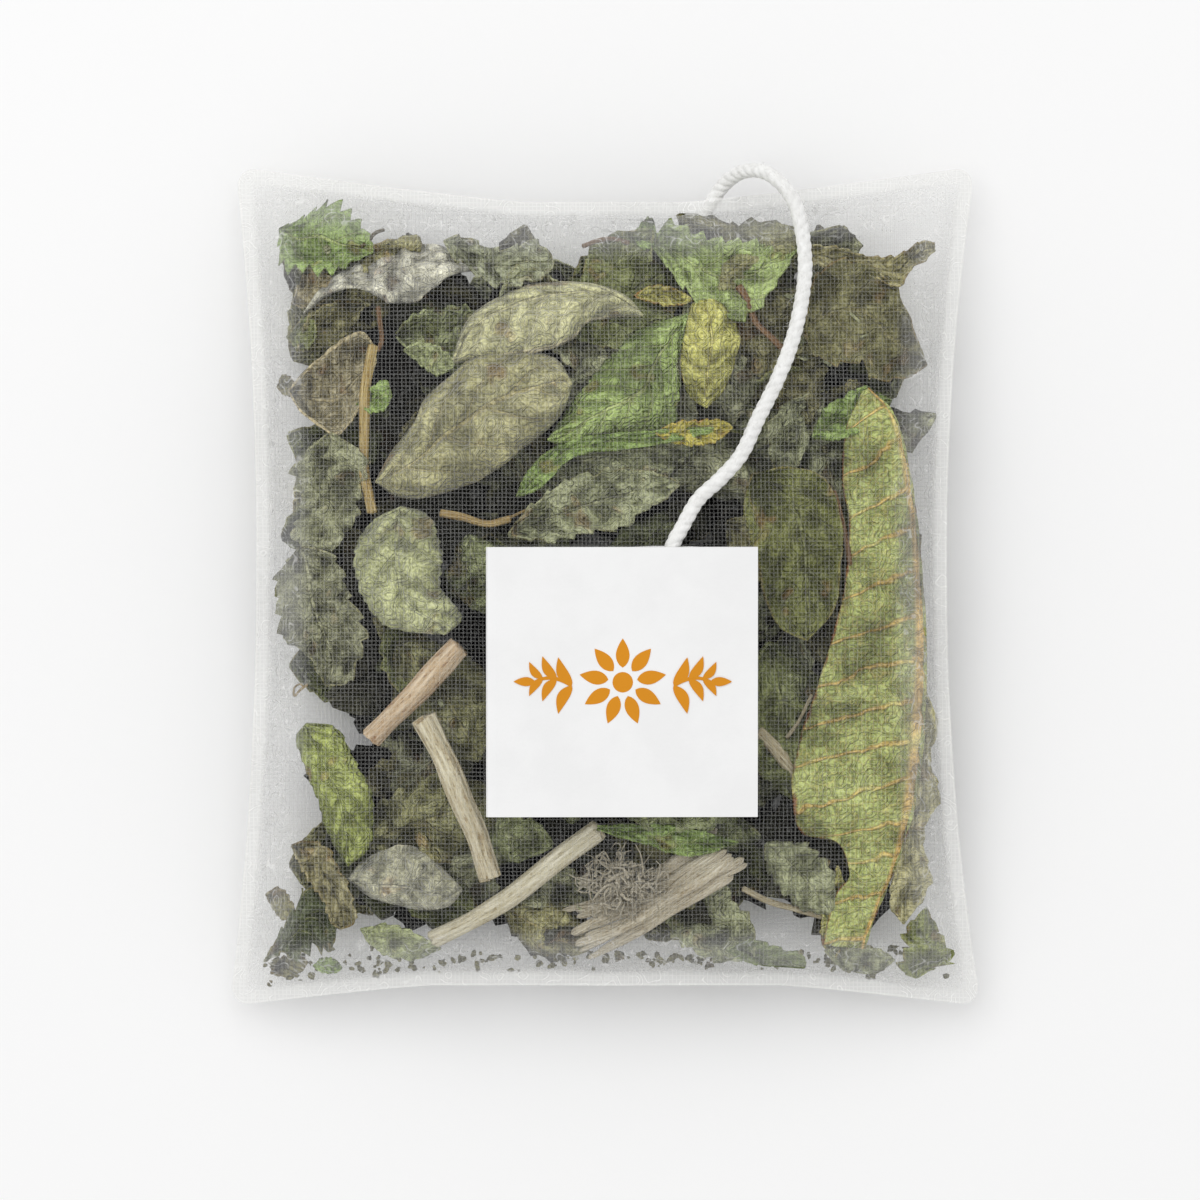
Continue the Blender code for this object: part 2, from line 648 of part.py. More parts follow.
def sheet_top(x, y):
    u, v = shares(x, y)
    return ceiling(u, v) + GAUZE


def tag_place(rows):
    """Where the tag lies: tilted as the bag is under it, and just clear of the gauze."""
    reach = TAG_SIDE / 2
    across = sheet_top(TAG_ACROSS + reach, TAG_ALONG) - sheet_top(TAG_ACROSS - reach, TAG_ALONG)
    along = sheet_top(TAG_ACROSS, TAG_ALONG + reach) - sheet_top(TAG_ACROSS, TAG_ALONG - reach)
    tilt = Matrix.Rotation(math.atan2(along, TAG_SIDE), 4, "X") @ Matrix.Rotation(
        -math.atan2(across, TAG_SIDE), 4, "Y")
    laid = Matrix.Translation((TAG_ACROSS, TAG_ALONG, 0)) @ tilt
    gaps = []
    for row in rows:
        for a, b in zip(row, row[1:]):
            for share in (0, 0.25, 0.5, 0.75, 1):
                point = laid @ a.lerp(b, share)
                gaps.append(point.z - CARD / 2 - sheet_top(point.x, point.y))
    return Matrix.Translation((0, 0, TOUCH - min(gaps))) @ laid


def main():
    clear_scene()
    gauze_sheets()
    filling()
    string()
    tag()


main()
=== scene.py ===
import math

import bpy
import numpy as np
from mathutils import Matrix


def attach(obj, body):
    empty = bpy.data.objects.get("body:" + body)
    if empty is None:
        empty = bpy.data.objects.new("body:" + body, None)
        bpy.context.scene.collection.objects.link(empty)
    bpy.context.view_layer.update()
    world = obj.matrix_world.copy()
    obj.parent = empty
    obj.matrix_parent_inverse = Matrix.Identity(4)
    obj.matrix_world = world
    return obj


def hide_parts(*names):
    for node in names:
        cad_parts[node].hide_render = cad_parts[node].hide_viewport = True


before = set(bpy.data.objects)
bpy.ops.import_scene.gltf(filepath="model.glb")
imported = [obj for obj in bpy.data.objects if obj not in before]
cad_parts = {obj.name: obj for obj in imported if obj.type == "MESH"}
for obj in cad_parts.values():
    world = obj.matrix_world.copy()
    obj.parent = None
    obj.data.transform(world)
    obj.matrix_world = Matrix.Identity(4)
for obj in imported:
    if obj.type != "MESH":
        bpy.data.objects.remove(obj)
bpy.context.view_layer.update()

bl_info = {
    "name": "Herbal tea bag",
    "version": (1, 0, 0),
    "blender": (4, 5, 0),
    "location": "View3D > Sidebar > Tea Bag",
    "description": "Gauze tea bag with dried leaves and stems, a cotton string and a card tag",
    "category": "Object",
}

MM = 0.001

# Photograph: millimetres to a pixel, and the pixel that stands over the frame's origin
PHOTO_MM = 0.0933
PHOTO_ORIGIN = (605.5, 586.0)
PHOTO_WIDTH = 112.0
VIEW_CENTRE = (-0.5, -1.3)

# Bag's outline and pillow form in millimetres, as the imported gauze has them
BAG_WIDTH = 70.8
BAG_HEIGHT = 79.1
BAG_DEPTH = 18.0
TOP_NARROWING = 1.1
LEFT_DIP = 2.4
RIGHT_DIP = 3.1
TOP_DIP = 3.5
BOTTOM_DIP = 2.1
GAUZE = 0.3
SEAL_BAND = 1.6
SEAM_HEIGHT = 7.4
CORNER_HEIGHT = 3.2
SEAM_RIPPLE = 0.3
RIPPLES = 5
REST_WIDTH = 27.0
REST_HEIGHT = 32.0
SECTION_POWER = 2.7
SECTION_ROUNDNESS = 0.52
TOUCH = 0.3
CORNER_ROUNDING = 0.055

# Middle line of the string in millimetres, from inside the top seam to between the tag's leaves
STRING_ROUTE = (
    (8.5, 34.0, 7.0),
    (9.8, 35.8, 7.0),
    (10.9, 37.4, 7.4),
    (12.2, 38.5, 8.8),
    (13.7, 38.9, 10.6),
    (15.2, 38.5, 12.0),
    (16.7, 37.2, 12.8),
    (17.8, 35.3, 13.0),
    (18.4, 32.6, 13.4),
    (18.6, 29.6, 14.4),
    (18.2, 26.2, 15.5),
    (17.3, 22.6, 16.5),
    (15.9, 19.0, 17.3),
    (14.2, 15.6, 17.9),
    (12.6, 12.2, 18.4),
    (10.6, 9.9, 18.7),
    (8.6, 8.0, 19.1),
    (7.2, 5.6, 19.7),
    (6.2, 3.7, 20.0),
    (5.7, 1.2, 19.9),
    (5.7, -2.4, 19.7),
    (5.7, -6.2, 19.5),
)
STRING_EXIT = (9.8, 35.9, 7.0)

# The string's channel through the seam: where it starts up the bag, how soon it is full, and its reach and
# slope to each side in diameters of the string
CHANNEL_START = 0.88
CHANNEL_FADE = 0.06
CHANNEL_REACH = 2.6
CHANNEL_SLOPE = 1.2

# Middle plane of the tag's front card in millimetres: its lower left corner and its two sides
TAG_CORNER = (-10.9, -21.4, 20.09)
TAG_ACROSS = (25.0, 0.0, -0.40)
TAG_UP = (0.0, 25.0, 1.32)
TAG_SIDE = 25.0

# Mesh of the gauze, and its relief in millimetres: lumps over the filling, puckers and wrinkles at the seal.
# The lumps keep clear of the tag, a square about its middle, and of the string
GAUZE_COLUMNS = 158
GAUZE_ROWS = 180
LUMP_HEIGHT = 0.45
PUCKER_HEIGHT = 0.35
SEAL_PUCKER = 0.22
WRINKLE_HEIGHT = 0.10
TAG_MIDDLE = (1.6, -8.9)
TAG_HALF = 13.5
STRING_CLEARANCE = 2.0
LOWEST = 0.03

# Twist of the string: the length of one full turn, the rings and sides of its mesh, and its loose fibres
STRING_LAY = 2.8
STRING_RINGS = 760
STRING_SIDES = 36
HAIRS = 150

# Stems and bark: points along them, strands of the bark, and the loose fibres round a pixel of the photograph
STEM_POINTS = 110
BARK_POINTS = 90
STRANDS = 11
TANGLE = 220
TANGLE_MIDDLE = (622, 884)

# Print on the tag: height over the card's middle plane, step between outlines and thickness, in millimetres
PRINT_HEIGHT = 0.14
PRINT_STEP = 0.003
PRINT_THICKNESS = 0.02

# Studio: the floor's side, the large lamp's place and side, and the camera's sensor and height over the tag
FLOOR_SIDE = 6.0
KEY_PLACE = (-0.18, 0.36, 0.8)
KEY_SIDE = 1.0
SENSOR = 36.0
TAG_HEIGHT = 0.012


def tone(red, green, blue):
    """The linear colour of a red, green and blue from 0 to 255."""
    shares = np.array((red, green, blue)) / 255
    return tuple(np.where(shares <= 0.04045, shares / 12.92, ((shares + 0.055) / 1.055) ** 2.4))


# Form of the bag
def blend(start, end, share):
    """A value between two, by a share from 0 to 1."""
    return start + (end - start) * share


def unit(vector):
    """A vector of the same direction and of length 1."""
    return vector / np.linalg.norm(vector)


def leftward(ahead):
    """The direction on the plan that lies to the left of one."""
    return np.array((-ahead[1], ahead[0]))


def dip(t, flat, power):
    """1 in the middle of an edge and 0 at its corners."""
    return 1 - (np.maximum(0.0, np.abs(t) - flat) / (1 - flat)) ** power


def plan(u, v):
    """The place on the plan of the shares u across the bag and v up it, each from -1 to 1."""
    narrowing = TOP_NARROWING * (v + 1) / 4
    left = -BAG_WIDTH / 2 + narrowing + LEFT_DIP * dip(v, 0.0, 2.1)
    right = BAG_WIDTH / 2 - narrowing - RIGHT_DIP * dip(v, 0.0, 2.1)
    top = BAG_HEIGHT / 2 - TOP_DIP * dip(u, 0.22, 1.15)
    bottom = -BAG_HEIGHT / 2 + BOTTOM_DIP * dip(u, 0.45, 1.2)
    return blend(left, right, (u + 1) / 2), blend(bottom, top, (v + 1) / 2)


def shares(x, y):
    """The u and v of points of the plan."""
    u = 2 * np.asarray(x, float) / BAG_WIDTH
    v = 2 * np.asarray(y, float) / BAG_HEIGHT
    for _ in range(8):
        across, along = plan(u, v)
        u = np.clip(u + 2 * (x - across) / BAG_WIDTH, -1.05, 1.05)
        v = np.clip(v + 2 * (y - along) / BAG_HEIGHT, -1.05, 1.05)
    return u, v


def section(t, size, flat=0.0):
    """How far the sheets have parted at a share t of the way out to the seal."""
    t = np.abs(t) / (1 - 2 * SEAL_BAND / size)
    outside = np.maximum(0.0, t - flat) / (1 - flat)
    return (1 - np.minimum(outside, 1.0) ** SECTION_POWER) ** SECTION_ROUNDNESS


def seam_height(u, v):
    """The height of the seam over the table, lower at the corners and rippled along the sides."""
    ripple = np.cos(np.pi * RIPPLES * u) * v**8 + np.cos(np.pi * RIPPLES * v) * u**8
    return blend(SEAM_HEIGHT, CORNER_HEIGHT, (u * v) ** 2) + SEAM_RIPPLE * ripple * (1 - (u * v) ** 4)


def string_channel(u, v):
    """How far each sheet stands off to let the string through the top seam."""
    off = np.abs(plan(u, v)[0] - STRING_EXIT[0])
    fade = np.clip((v - CHANNEL_START) / CHANNEL_FADE, 0, 1)
    near = np.clip((CHANNEL_REACH * Sizes.string - off) / (CHANNEL_SLOPE * Sizes.string), 0, 1)
    return (Sizes.string / 2 + TOUCH / 2) * fade * near


def front_inside(u, v):
    """The height of the front sheet's inner face."""
    parted = section(u, BAG_WIDTH) * section(v, BAG_HEIGHT)
    return blend(seam_height(u, v) + TOUCH / 2, BAG_DEPTH - GAUZE, parted) + string_channel(u, v)


def back_inside(u, v):
    """The height of the back sheet's inner face, flat where the bag lies on it."""
    parted = section(u, BAG_WIDTH, REST_WIDTH / BAG_WIDTH) * section(v, BAG_HEIGHT, REST_HEIGHT / BAG_HEIGHT)
    return blend(seam_height(u, v) - TOUCH / 2, GAUZE, parted) - string_channel(u, v)


def inside(x, y):
    """The lowest and highest places that the filling may take over points of the plan."""
    u, v = shares(x, y)
    return back_inside(u, v) + 0.1, front_inside(u, v) - 0.1


# Shapes and their small unevenness
def noise(x, y, seed):
    """Smooth unevenness from -1 to 1 over a plane, about one bump to a unit."""
    x, y = np.broadcast_arrays(np.asarray(x, float), np.asarray(y, float))
    column, row = np.floor(x), np.floor(y)
    fx, fy = x - column, y - row
    fx, fy = fx * fx * (3 - 2 * fx), fy * fy * (3 - 2 * fy)

    def corner(i, j):
        value = np.sin((column + i) * 127.1 + (row + j) * 311.7 + seed * 74.7) * 43758.5453
        return 2 * (value - np.floor(value)) - 1

    low = blend(corner(0, 0), corner(1, 0), fx)
    high = blend(corner(0, 1), corner(1, 1), fx)
    return blend(low, high, fy)


def creases(x, y, seed):
    """Ridges with sharp crests, as in a dried leaf, from 0 to about 1."""
    total = 0.0
    for octave, share in ((1.0, 0.55), (2.1, 0.3), (4.3, 0.15)):
        total = total + share * (1 - np.abs(noise(x * octave, y * octave, seed + octave)) * 2)
    return total


def from_photo(points):
    """Places on the plan, in millimetres, of pixels of the photograph given as x and y by turns."""
    points = np.asarray(points, float).reshape(-1, 2)
    x = (points[:, 0] - PHOTO_ORIGIN[0]) * PHOTO_MM
    y = (PHOTO_ORIGIN[1] - points[:, 1]) * PHOTO_MM
    return np.stack((x, y), 1)


def smooth(points, count):
    """Evenly spaced points on a smooth curve through the given ones."""
    points = np.asarray(points, float)
    ends = (2 * points[:1] - points[1:2], points, 2 * points[-1:] - points[-2:-1])
    padded = np.concatenate(ends)
    t = np.linspace(0, 1, 16, endpoint=False)[:, None, None]
    a, b, c, d = padded[:-3], padded[1:-2], padded[2:-1], padded[3:]
    fine = 0.5 * (2 * b + (c - a) * t + (2 * a - 5 * b + 4 * c - d) * t**2 + (3 * b - a - 3 * c + d) * t**3)
    fine = np.concatenate([fine.transpose(1, 0, 2).reshape(-1, points.shape[1]), points[-1:]])
    steps = np.concatenate([[0.0], np.cumsum(np.linalg.norm(np.diff(fine, axis=0), axis=1))])
    wanted = np.linspace(0, steps[-1], count)
    return np.stack([np.interp(wanted, steps, fine[:, k]) for k in range(fine.shape[1])], axis=1)


def packed_points(node):
    """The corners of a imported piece, in millimetres."""
    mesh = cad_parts[node].data
    corners = np.empty(len(mesh.vertices) * 3)
    mesh.vertices.foreach_get("co", corners)
    return np.unique((corners.reshape(-1, 3) / MM).round(2), axis=0)


def plate(gap):
    """The bend of a thin plate at a distance from where it is held."""
    return gap**2 * np.log(gap + 1e-9)


def lie_of(node):
    """A smooth surface through the middle of a packed leaf: its height at points of the plan."""
    corners = packed_points(node)
    flat = np.column_stack([np.ones(len(corners)), corners[:, :2]])
    count = len(corners)
    gaps = np.linalg.norm(corners[:, None, :2] - corners[None, :, :2], axis=2)
    matrix = np.zeros((count + 3, count + 3))
    matrix[:count, :count] = plate(gaps) + 4.0 * np.eye(count)
    matrix[:count, count:] = flat
    matrix[count:, :count] = flat.T
    weights = np.linalg.solve(matrix, np.concatenate([corners[:, 2], np.zeros(3)]))

    def height(x, y):
        places = np.column_stack([np.ravel(x), np.ravel(y)])
        gaps = np.linalg.norm(places[:, None] - corners[None, :, :2], axis=2)
        found = plate(gaps) @ weights[:count] + weights[count] + places @ weights[count + 1:]
        return found.reshape(np.shape(x))

    return height


# Making of pieces
def clear_selection():
    """Leaves edit mode and deselects everything."""
    if bpy.context.object and bpy.context.object.mode != "OBJECT":
        bpy.ops.object.mode_set(mode="OBJECT")
    bpy.ops.object.select_all(action="DESELECT")


def select_only(piece):
    """Makes a piece the one that is selected and active."""
    clear_selection()
    piece.select_set(True)
    bpy.context.view_layer.objects.active = piece


def edit_all(piece):
    """Opens a piece's mesh for editing, all of it selected."""
    select_only(piece)
    bpy.ops.object.mode_set(mode="EDIT")
    bpy.ops.mesh.select_all(action="SELECT")


def weld(piece):
    """Closes the seams and ends of rolled grids and turns their faces outwards."""
    edit_all(piece)
    bpy.ops.mesh.remove_doubles(threshold=1e-6)
    bpy.ops.mesh.normals_make_consistent(inside=False)
    bpy.ops.object.mode_set(mode="OBJECT")


def thicken(piece, thickness, offset=0.0):
    """Gives a surface its thickness in millimetres, to both sides alike or, with -1, to its inner side."""
    solid = piece.modifiers.new("thickness", "SOLIDIFY")
    solid.thickness = thickness * MM
    solid.offset = offset
    bpy.ops.object.modifier_apply(modifier=solid.name)


def finish_piece(piece, name, material, slot=None, replaced=()):
    """Names a piece, gives it its finish and lets it ride with the bag."""
    piece.name = name
    piece.data.name = name
    piece.data.materials.clear()
    piece.data.materials.append(material)
    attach(piece, "root")
    if replaced:
        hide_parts(*replaced)
    return piece


def put_uv(piece, name, across, along):
    """Gives the piece's corners a UV map from a value across and one along at each vertex."""
    mesh = piece.data
    layer = mesh.uv_layers.get(name) or mesh.uv_layers.new(name=name)
    index = np.empty(len(mesh.loops), int)
    mesh.loops.foreach_get("vertex_index", index)
    pairs = np.column_stack([np.ravel(across)[index], np.ravel(along)[index]])
    layer.data.foreach_set("uv", pairs.ravel())


def grid(points, across, along, thickness=0.0, welded=False, shade=None):
    """A grid primitive laid to rows of points in millimetres, welded if rolled up, and thickened."""
    clear_selection()
    rows, columns = points.shape[:2]
    bpy.ops.mesh.primitive_grid_add(x_subdivisions=columns - 1, y_subdivisions=rows - 1, size=1)
    piece = bpy.context.object
    piece.data.vertices.foreach_set("co", (points * MM).ravel())
    put_uv(piece, "UVMap", across, along)
    if shade:
        put_uv(piece, "shade", *shade)
    if welded:
        weld(piece)
    if thickness:
        thicken(piece, thickness)
    bpy.ops.object.shade_smooth()
    return piece


def loose_grids(blocks, thickness=0.0):
    """Many small grids in one mesh: each block is its rows of points, its shares across and along, and
    for leaves their folds and depth."""
    points, faces, across, along, shade = [], [], [], [], []
    start = 0
    for block, u, v, *more in blocks:
        if more:
            shade.append(np.column_stack([np.ravel(more[0]), np.ravel(more[1])]))
        rows, columns = block.shape[:2]
        index = np.arange(rows * columns).reshape(rows, columns) + start
        quads = np.stack([index[:-1, :-1], index[:-1, 1:], index[1:, 1:], index[1:, :-1]], -1)
        faces.extend(map(tuple, quads.reshape(-1, 4).tolist()))
        points.append(block.reshape(-1, 3))
        across.append(np.ravel(u))
        along.append(np.ravel(v))
        start += rows * columns
    mesh = bpy.data.meshes.new("loose")
    mesh.from_pydata((np.concatenate(points) * MM).tolist(), [], faces)
    piece = bpy.data.objects.new("loose", mesh)
    bpy.context.collection.objects.link(piece)
    select_only(piece)
    put_uv(piece, "UVMap", np.concatenate(across), np.concatenate(along))
    if shade:
        shade = np.concatenate(shade)
        put_uv(piece, "shade", shade[:, 0], shade[:, 1])
    if thickness:
        thicken(piece, thickness)
    bpy.ops.object.shade_smooth()
    return piece


def rings(route, sides, reach, flat=1.0):
    """Rows of points round a route in millimetres, where reach gives the radius from angle and share."""
    count = len(route)
    ahead = np.gradient(route, axis=0)
    ahead /= np.linalg.norm(ahead, axis=1)[:, None]
    side = unit(np.cross(ahead[0], (0, 0, 1)))
    sideways = np.empty_like(route)
    for i in range(count):
        side = unit(side - ahead[i] * (side @ ahead[i]))
        sideways[i] = side
    upward = np.cross(sideways, ahead)
    angle = np.linspace(0, 2 * np.pi, sides + 1)[None, :]
    share = np.linspace(0, 1, count)[:, None]
    radius = reach(angle, share)[..., None]
    turned = np.cos(angle)[..., None] * sideways[:, None] + flat * np.sin(angle)[..., None] * upward[:, None]
    length = np.cumsum(np.r_[0, np.linalg.norm(np.diff(route, axis=0), axis=1)])[:, None]
    return route[:, None] + turned * radius, angle / (2 * np.pi) + 0 * share, length + 0 * angle


def rounded_ends(share, blunt):
    """A radius that falls to nothing at both ends of a stick, over a share blunt of its length."""
    gap = np.minimum(share, 1 - share)
    return np.sqrt(np.clip(1 - (1 - np.clip(gap / blunt, 0, 1)) ** 4, 0, 1))


# Finishes
SURFACE = [("Color", "Color"), ("Height", "Float"), ("Roughness", "Float")]


class Tree:
    """A node tree, with one call for each kind of node that the finishes use."""

    def __init__(self, tree):
        self.tree = tree
        self.column = 0

    def add(self, kind, inputs=(), **settings):
        node = self.tree.nodes.new(kind)
        node.location = (200 * self.column, -180 * (self.column % 5))
        self.column += 1
        for name, value in settings.items():
            setattr(node, name, value)
        for socket, value in dict(inputs).items():
            self.feed(node.inputs[socket], value)
        return node

    def feed(self, socket, value):
        if isinstance(value, bpy.types.NodeSocket):
            self.tree.links.new(value, socket)
        elif value is not None:
            socket.default_value = value

    def math(self, operation, a, b=None, c=None):
        return self.add("ShaderNodeMath", {0: a, 1: b, 2: c}, operation=operation).outputs[0]

    def times(self, a, b):
        return self.math("MULTIPLY", a, b)

    def minus(self, a, b):
        return self.math("SUBTRACT", a, b)

    def times_plus(self, a, b, c):
        return self.math("MULTIPLY_ADD", a, b, c)

    def from_half(self, value):
        """How far the fraction of a value lies from a half."""
        return self.math("ABSOLUTE", self.minus(self.math("FRACT", value), 0.5))

    def vector(self, operation, a, b):
        return self.add("ShaderNodeVectorMath", {0: a, 1: b}, operation=operation).outputs[0]

    def split(self, vector):
        return self.add("ShaderNodeSeparateXYZ", {0: vector}).outputs

    def join(self, x, y, z):
        return self.add("ShaderNodeCombineXYZ", {0: x, 1: y, 2: z}).outputs[0]

    def place(self):
        """The place on the object, in metres."""
        return self.add("ShaderNodeTexCoord").outputs["Object"]

    def uv(self, name):
        return self.add("ShaderNodeUVMap", uv_map=name).outputs[0]

    def ramp(self, value, low, high, start=0.0, end=1.0):
        """A smooth step of the value, from start at low to end at high."""
        inputs = {0: value, 1: low, 2: high, 3: start, 4: end}
        return self.add("ShaderNodeMapRange", inputs, interpolation_type="SMOOTHSTEP").outputs[0]

    def mix(self, share, a, b, kind="MIX"):
        node = self.add("ShaderNodeMix", {0: share, 6: a, 7: b}, data_type="RGBA", blend_type=kind)
        return node.outputs[2]

    def noise(self, place, scale, detail=2.0, roughness=0.5, distortion=0.0):
        inputs = {0: place, 2: scale, 3: detail, 4: roughness, 8: distortion}
        return self.add("ShaderNodeTexNoise", inputs).outputs[0]

    def cells(self, place, scale):
        return self.add("ShaderNodeTexVoronoi", {0: place, 2: scale}, feature="DISTANCE_TO_EDGE").outputs[0]

    def stretch(self, place, scale):
        return self.add("ShaderNodeMapping", {"Vector": place, "Scale": scale}).outputs[0]


def new_group(name, inputs, outputs=SURFACE):
    """An empty node group: its tree, its inputs as given and the sockets of its output."""
    tree = bpy.data.node_groups.new(name, "ShaderNodeTree")
    for label, kind, value in inputs:
        socket = tree.interface.new_socket(name=label, in_out="INPUT", socket_type="NodeSocket" + kind)
        socket.default_value = (*value, 1.0) if kind == "Color" else value
    for label, kind in outputs:
        tree.interface.new_socket(name=label, in_out="OUTPUT", socket_type="NodeSocket" + kind)
    made = Tree(tree)
    return made, made.add("NodeGroupInput").outputs, made.add("NodeGroupOutput").inputs


def once(build):
    """Builds a node group at the first call and finds it again by its name after that."""
    def group():
        return bpy.data.node_groups.get(build.__name__) or build()
    return group


@once
def leaf_surface():
    """Node group: a dried leaf's colour and relief, with midrib, side veins, fine net and painted shade."""
    colours = [(name, "Color", (0.3, 0.3, 0.2)) for name in ("Main", "Pale", "Dark", "Vein", "Rim", "Spot")]
    numbers = [(name, "Float", 0.5) for name in ("Pairs", "Slant", "Vein Strength", "Vein Relief", "Mottle",
                                                 "Spots", "Rim Width", "Fuzz", "Vein Width")]
    nodes, given, out = new_group("leaf_surface", colours + numbers)
    coordinates = nodes.add("ShaderNodeTexCoord").outputs
    place = coordinates["Object"]
    split = nodes.split(coordinates["UV"])
    broad = nodes.noise(place, 190.0, 2.0, 0.55, 0.6)
    patches = nodes.noise(place, 420.0, 3.0, 0.6)
    grain = nodes.noise(place, 2600.0, 2.0, 0.65)

    # Midrib, side veins that start by turns on either side of it, and a fine net of bent cells
    signed = nodes.times_plus(split[0], 2.0, -1.0)
    side = nodes.math("ABSOLUTE", signed)
    along = nodes.times_plus(broad, 0.05, split[1])
    bent = nodes.times(nodes.math("POWER", side, 1.3), given["Slant"])
    phase = nodes.times(nodes.minus(along, bent), given["Pairs"])
    shifted = nodes.times_plus(nodes.math("GREATER_THAN", signed, 0.0), 0.5, phase)
    gap = nodes.from_half(nodes.math("ADD", shifted, 0.5))
    reach = nodes.times(nodes.times_plus(side, -0.03, 0.055), given["Vein Width"])
    side_veins = nodes.minus(1.0, nodes.ramp(nodes.math("DIVIDE", gap, reach), 0.35, 1.4))
    midrib = nodes.ramp(nodes.math("DIVIDE", side, given["Vein Width"]), 0.03, 0.075, 1.0, 0.0)
    wobble = nodes.add("ShaderNodeTexNoise", {0: place, 2: 900.0, 3: 0.0}).outputs[1]
    bent_place = nodes.vector("ADD", place, nodes.vector("MULTIPLY", wobble, (0.0006, 0.0006, 0.0006)))
    net = nodes.ramp(nodes.cells(bent_place, 1150.0), 0.0, 0.12, 0.25, 0.0)
    veins = nodes.math("MAXIMUM", midrib, nodes.math("MAXIMUM", nodes.times(side_veins, 0.85), net))

    # Mottled colour with brown spots, the veins, the rim, and pale dust or fuzz
    colour = nodes.mix(nodes.ramp(broad, 0.36, 0.52, 0.35, 1.0), given["Dark"], given["Main"])
    pale_share = nodes.times(nodes.ramp(patches, 0.48, 0.66), given["Mottle"])
    colour = nodes.mix(pale_share, colour, given["Pale"])
    spot_share = nodes.times(nodes.ramp(nodes.noise(place, 260.0, 2.0, 0.7), 0.6, 0.68), given["Spots"])
    colour = nodes.mix(spot_share, colour, given["Spot"])
    colour = nodes.mix(nodes.times(veins, given["Vein Strength"]), colour, given["Vein"])
    ragged = nodes.times_plus(patches, 0.12, side)
    rim = nodes.ramp(nodes.minus(ragged, nodes.minus(1.05, given["Rim Width"])), 0.0, 0.03)
    colour = nodes.mix(rim, colour, given["Rim"])
    dust = nodes.times(nodes.ramp(grain, 0.45, 0.72), given["Fuzz"])
    colour = nodes.mix(dust, colour, (0.62, 0.62, 0.5, 1.0))

    # The shade map holds each place's height among the folds and its height in the depth of the bag, which
    # set the painted highlight and painted shade
    lie = nodes.split(nodes.uv("shade"))
    # Painted highlight: the fold ridges are lightened towards the pale tone
    colour = nodes.mix(nodes.ramp(lie[0], 0.55, 1.0, 0.0, 0.6), colour, given["Pale"])
    # Painted shade: fold valleys are darker, and places deep in the bag much darker
    painted_shade_of_folds_and_depth = nodes.times(nodes.ramp(lie[0], 0.1, 0.7, 0.5, 1.12), nodes.ramp(lie[1], 0.25, 0.75, 0.07, 1.0))
    shade = nodes.times(nodes.ramp(grain, 0.3, 0.6, 0.62, 1.08), painted_shade_of_folds_and_depth)
    nodes.feed(out["Color"], nodes.mix(1.0, colour, nodes.join(shade, shade, shade), "MULTIPLY"))

    relief = nodes.times_plus(grain, 0.55, nodes.times(veins, given["Vein Relief"]))
    waves = nodes.math("SINE", nodes.times(nodes.noise(place, 520.0, 1.0, 0.5), 60.0))
    relief = nodes.times_plus(waves, 0.4, relief)
    nodes.feed(out["Height"], nodes.times_plus(patches, 0.8, relief))
    nodes.feed(out["Roughness"], nodes.ramp(patches, 0.35, 0.7, 0.55, 0.85))
    return nodes.tree


@once
def open_weave():
    """Node group: the cover of an open plain weave with uneven threads, creases and a fused seal."""
    numbers = [(name, "Float", 0.3) for name in ("Thread", "Cover", "Haze", "Seal")]
    nodes, given, out = new_group("open_weave", numbers, [("Cover", "Float")])
    place = nodes.place()
    weave = nodes.uv("weave")
    edge = nodes.split(nodes.uv("edge"))
    split = nodes.split(weave)

    # Threads both ways, each of its own width, wavering and with thick and thin places
    drift = nodes.noise(place, 260.0, 1.0, 0.6)
    masks = []
    for axis, seed in ((0, 3.1), (1, 7.7)):
        moved = nodes.times_plus(drift, 0.5, split[axis])
        number = nodes.math("ADD", nodes.math("FLOOR", moved), seed)
        own = nodes.add("ShaderNodeTexWhiteNoise", {"W": number}, noise_dimensions="1D").outputs["Value"]
        width = nodes.times(given["Thread"], nodes.times_plus(own, 0.3, 0.85))
        line = nodes.minus(1.0, nodes.ramp(nodes.math("DIVIDE", nodes.from_half(moved), width), 0.55, 1.0))
        slub_place = nodes.stretch(weave, (0.07, 2.2, 1.0) if axis else (2.2, 0.07, 1.0))
        slub = nodes.ramp(nodes.noise(slub_place, 1.0, 0.0), 0.3, 0.7, 0.75, 1.35)
        masks.append(nodes.times(line, slub))
    threads = nodes.times(nodes.math("MAXIMUM", masks[0], nodes.times(masks[1], 0.85)), given["Cover"])

    # Pale crease lines, strongest in the empty margin, then the fused seal and its lip
    waves = nodes.times(nodes.noise(place, 420.0, 1.0, 0.5), 9.0)
    strokes = nodes.ramp(nodes.from_half(waves), 0.0, 0.16, 1.0, 0.0)
    strokes = nodes.times(strokes, nodes.ramp(nodes.noise(place, 700.0, 0.0), 0.42, 0.62))
    ways_in = []
    for share, size in zip(edge, (BAG_WIDTH, BAG_HEIGHT)):
        ways_in.append(nodes.times(nodes.minus(1.0, nodes.math("ABSOLUTE", share)), size / 2))
    inward = nodes.math("MINIMUM", *ways_in)
    wavering = nodes.times_plus(drift, 0.8, inward)
    margin = nodes.ramp(wavering, 3.8, 7.0, 1.0, 0.0)
    seal = nodes.ramp(wavering, SEAL_BAND, SEAL_BAND + 0.5, 1.0, 0.0)
    lip = nodes.ramp(inward, 0.0, 0.25, 1.0, 0.0)
    haze = nodes.times(given["Haze"], nodes.times_plus(margin, 80.0, 0.6))
    haze = nodes.times_plus(strokes, nodes.times_plus(margin, 0.26, 0.035), haze)
    haze = nodes.times_plus(seal, given["Seal"], haze)
    haze = nodes.times_plus(lip, 0.25, haze)
    open_share = nodes.times(nodes.minus(1.0, threads), nodes.minus(1.0, haze))
    nodes.feed(out["Cover"], nodes.math("MINIMUM", nodes.minus(1.0, open_share), 0.92))
    return nodes.tree


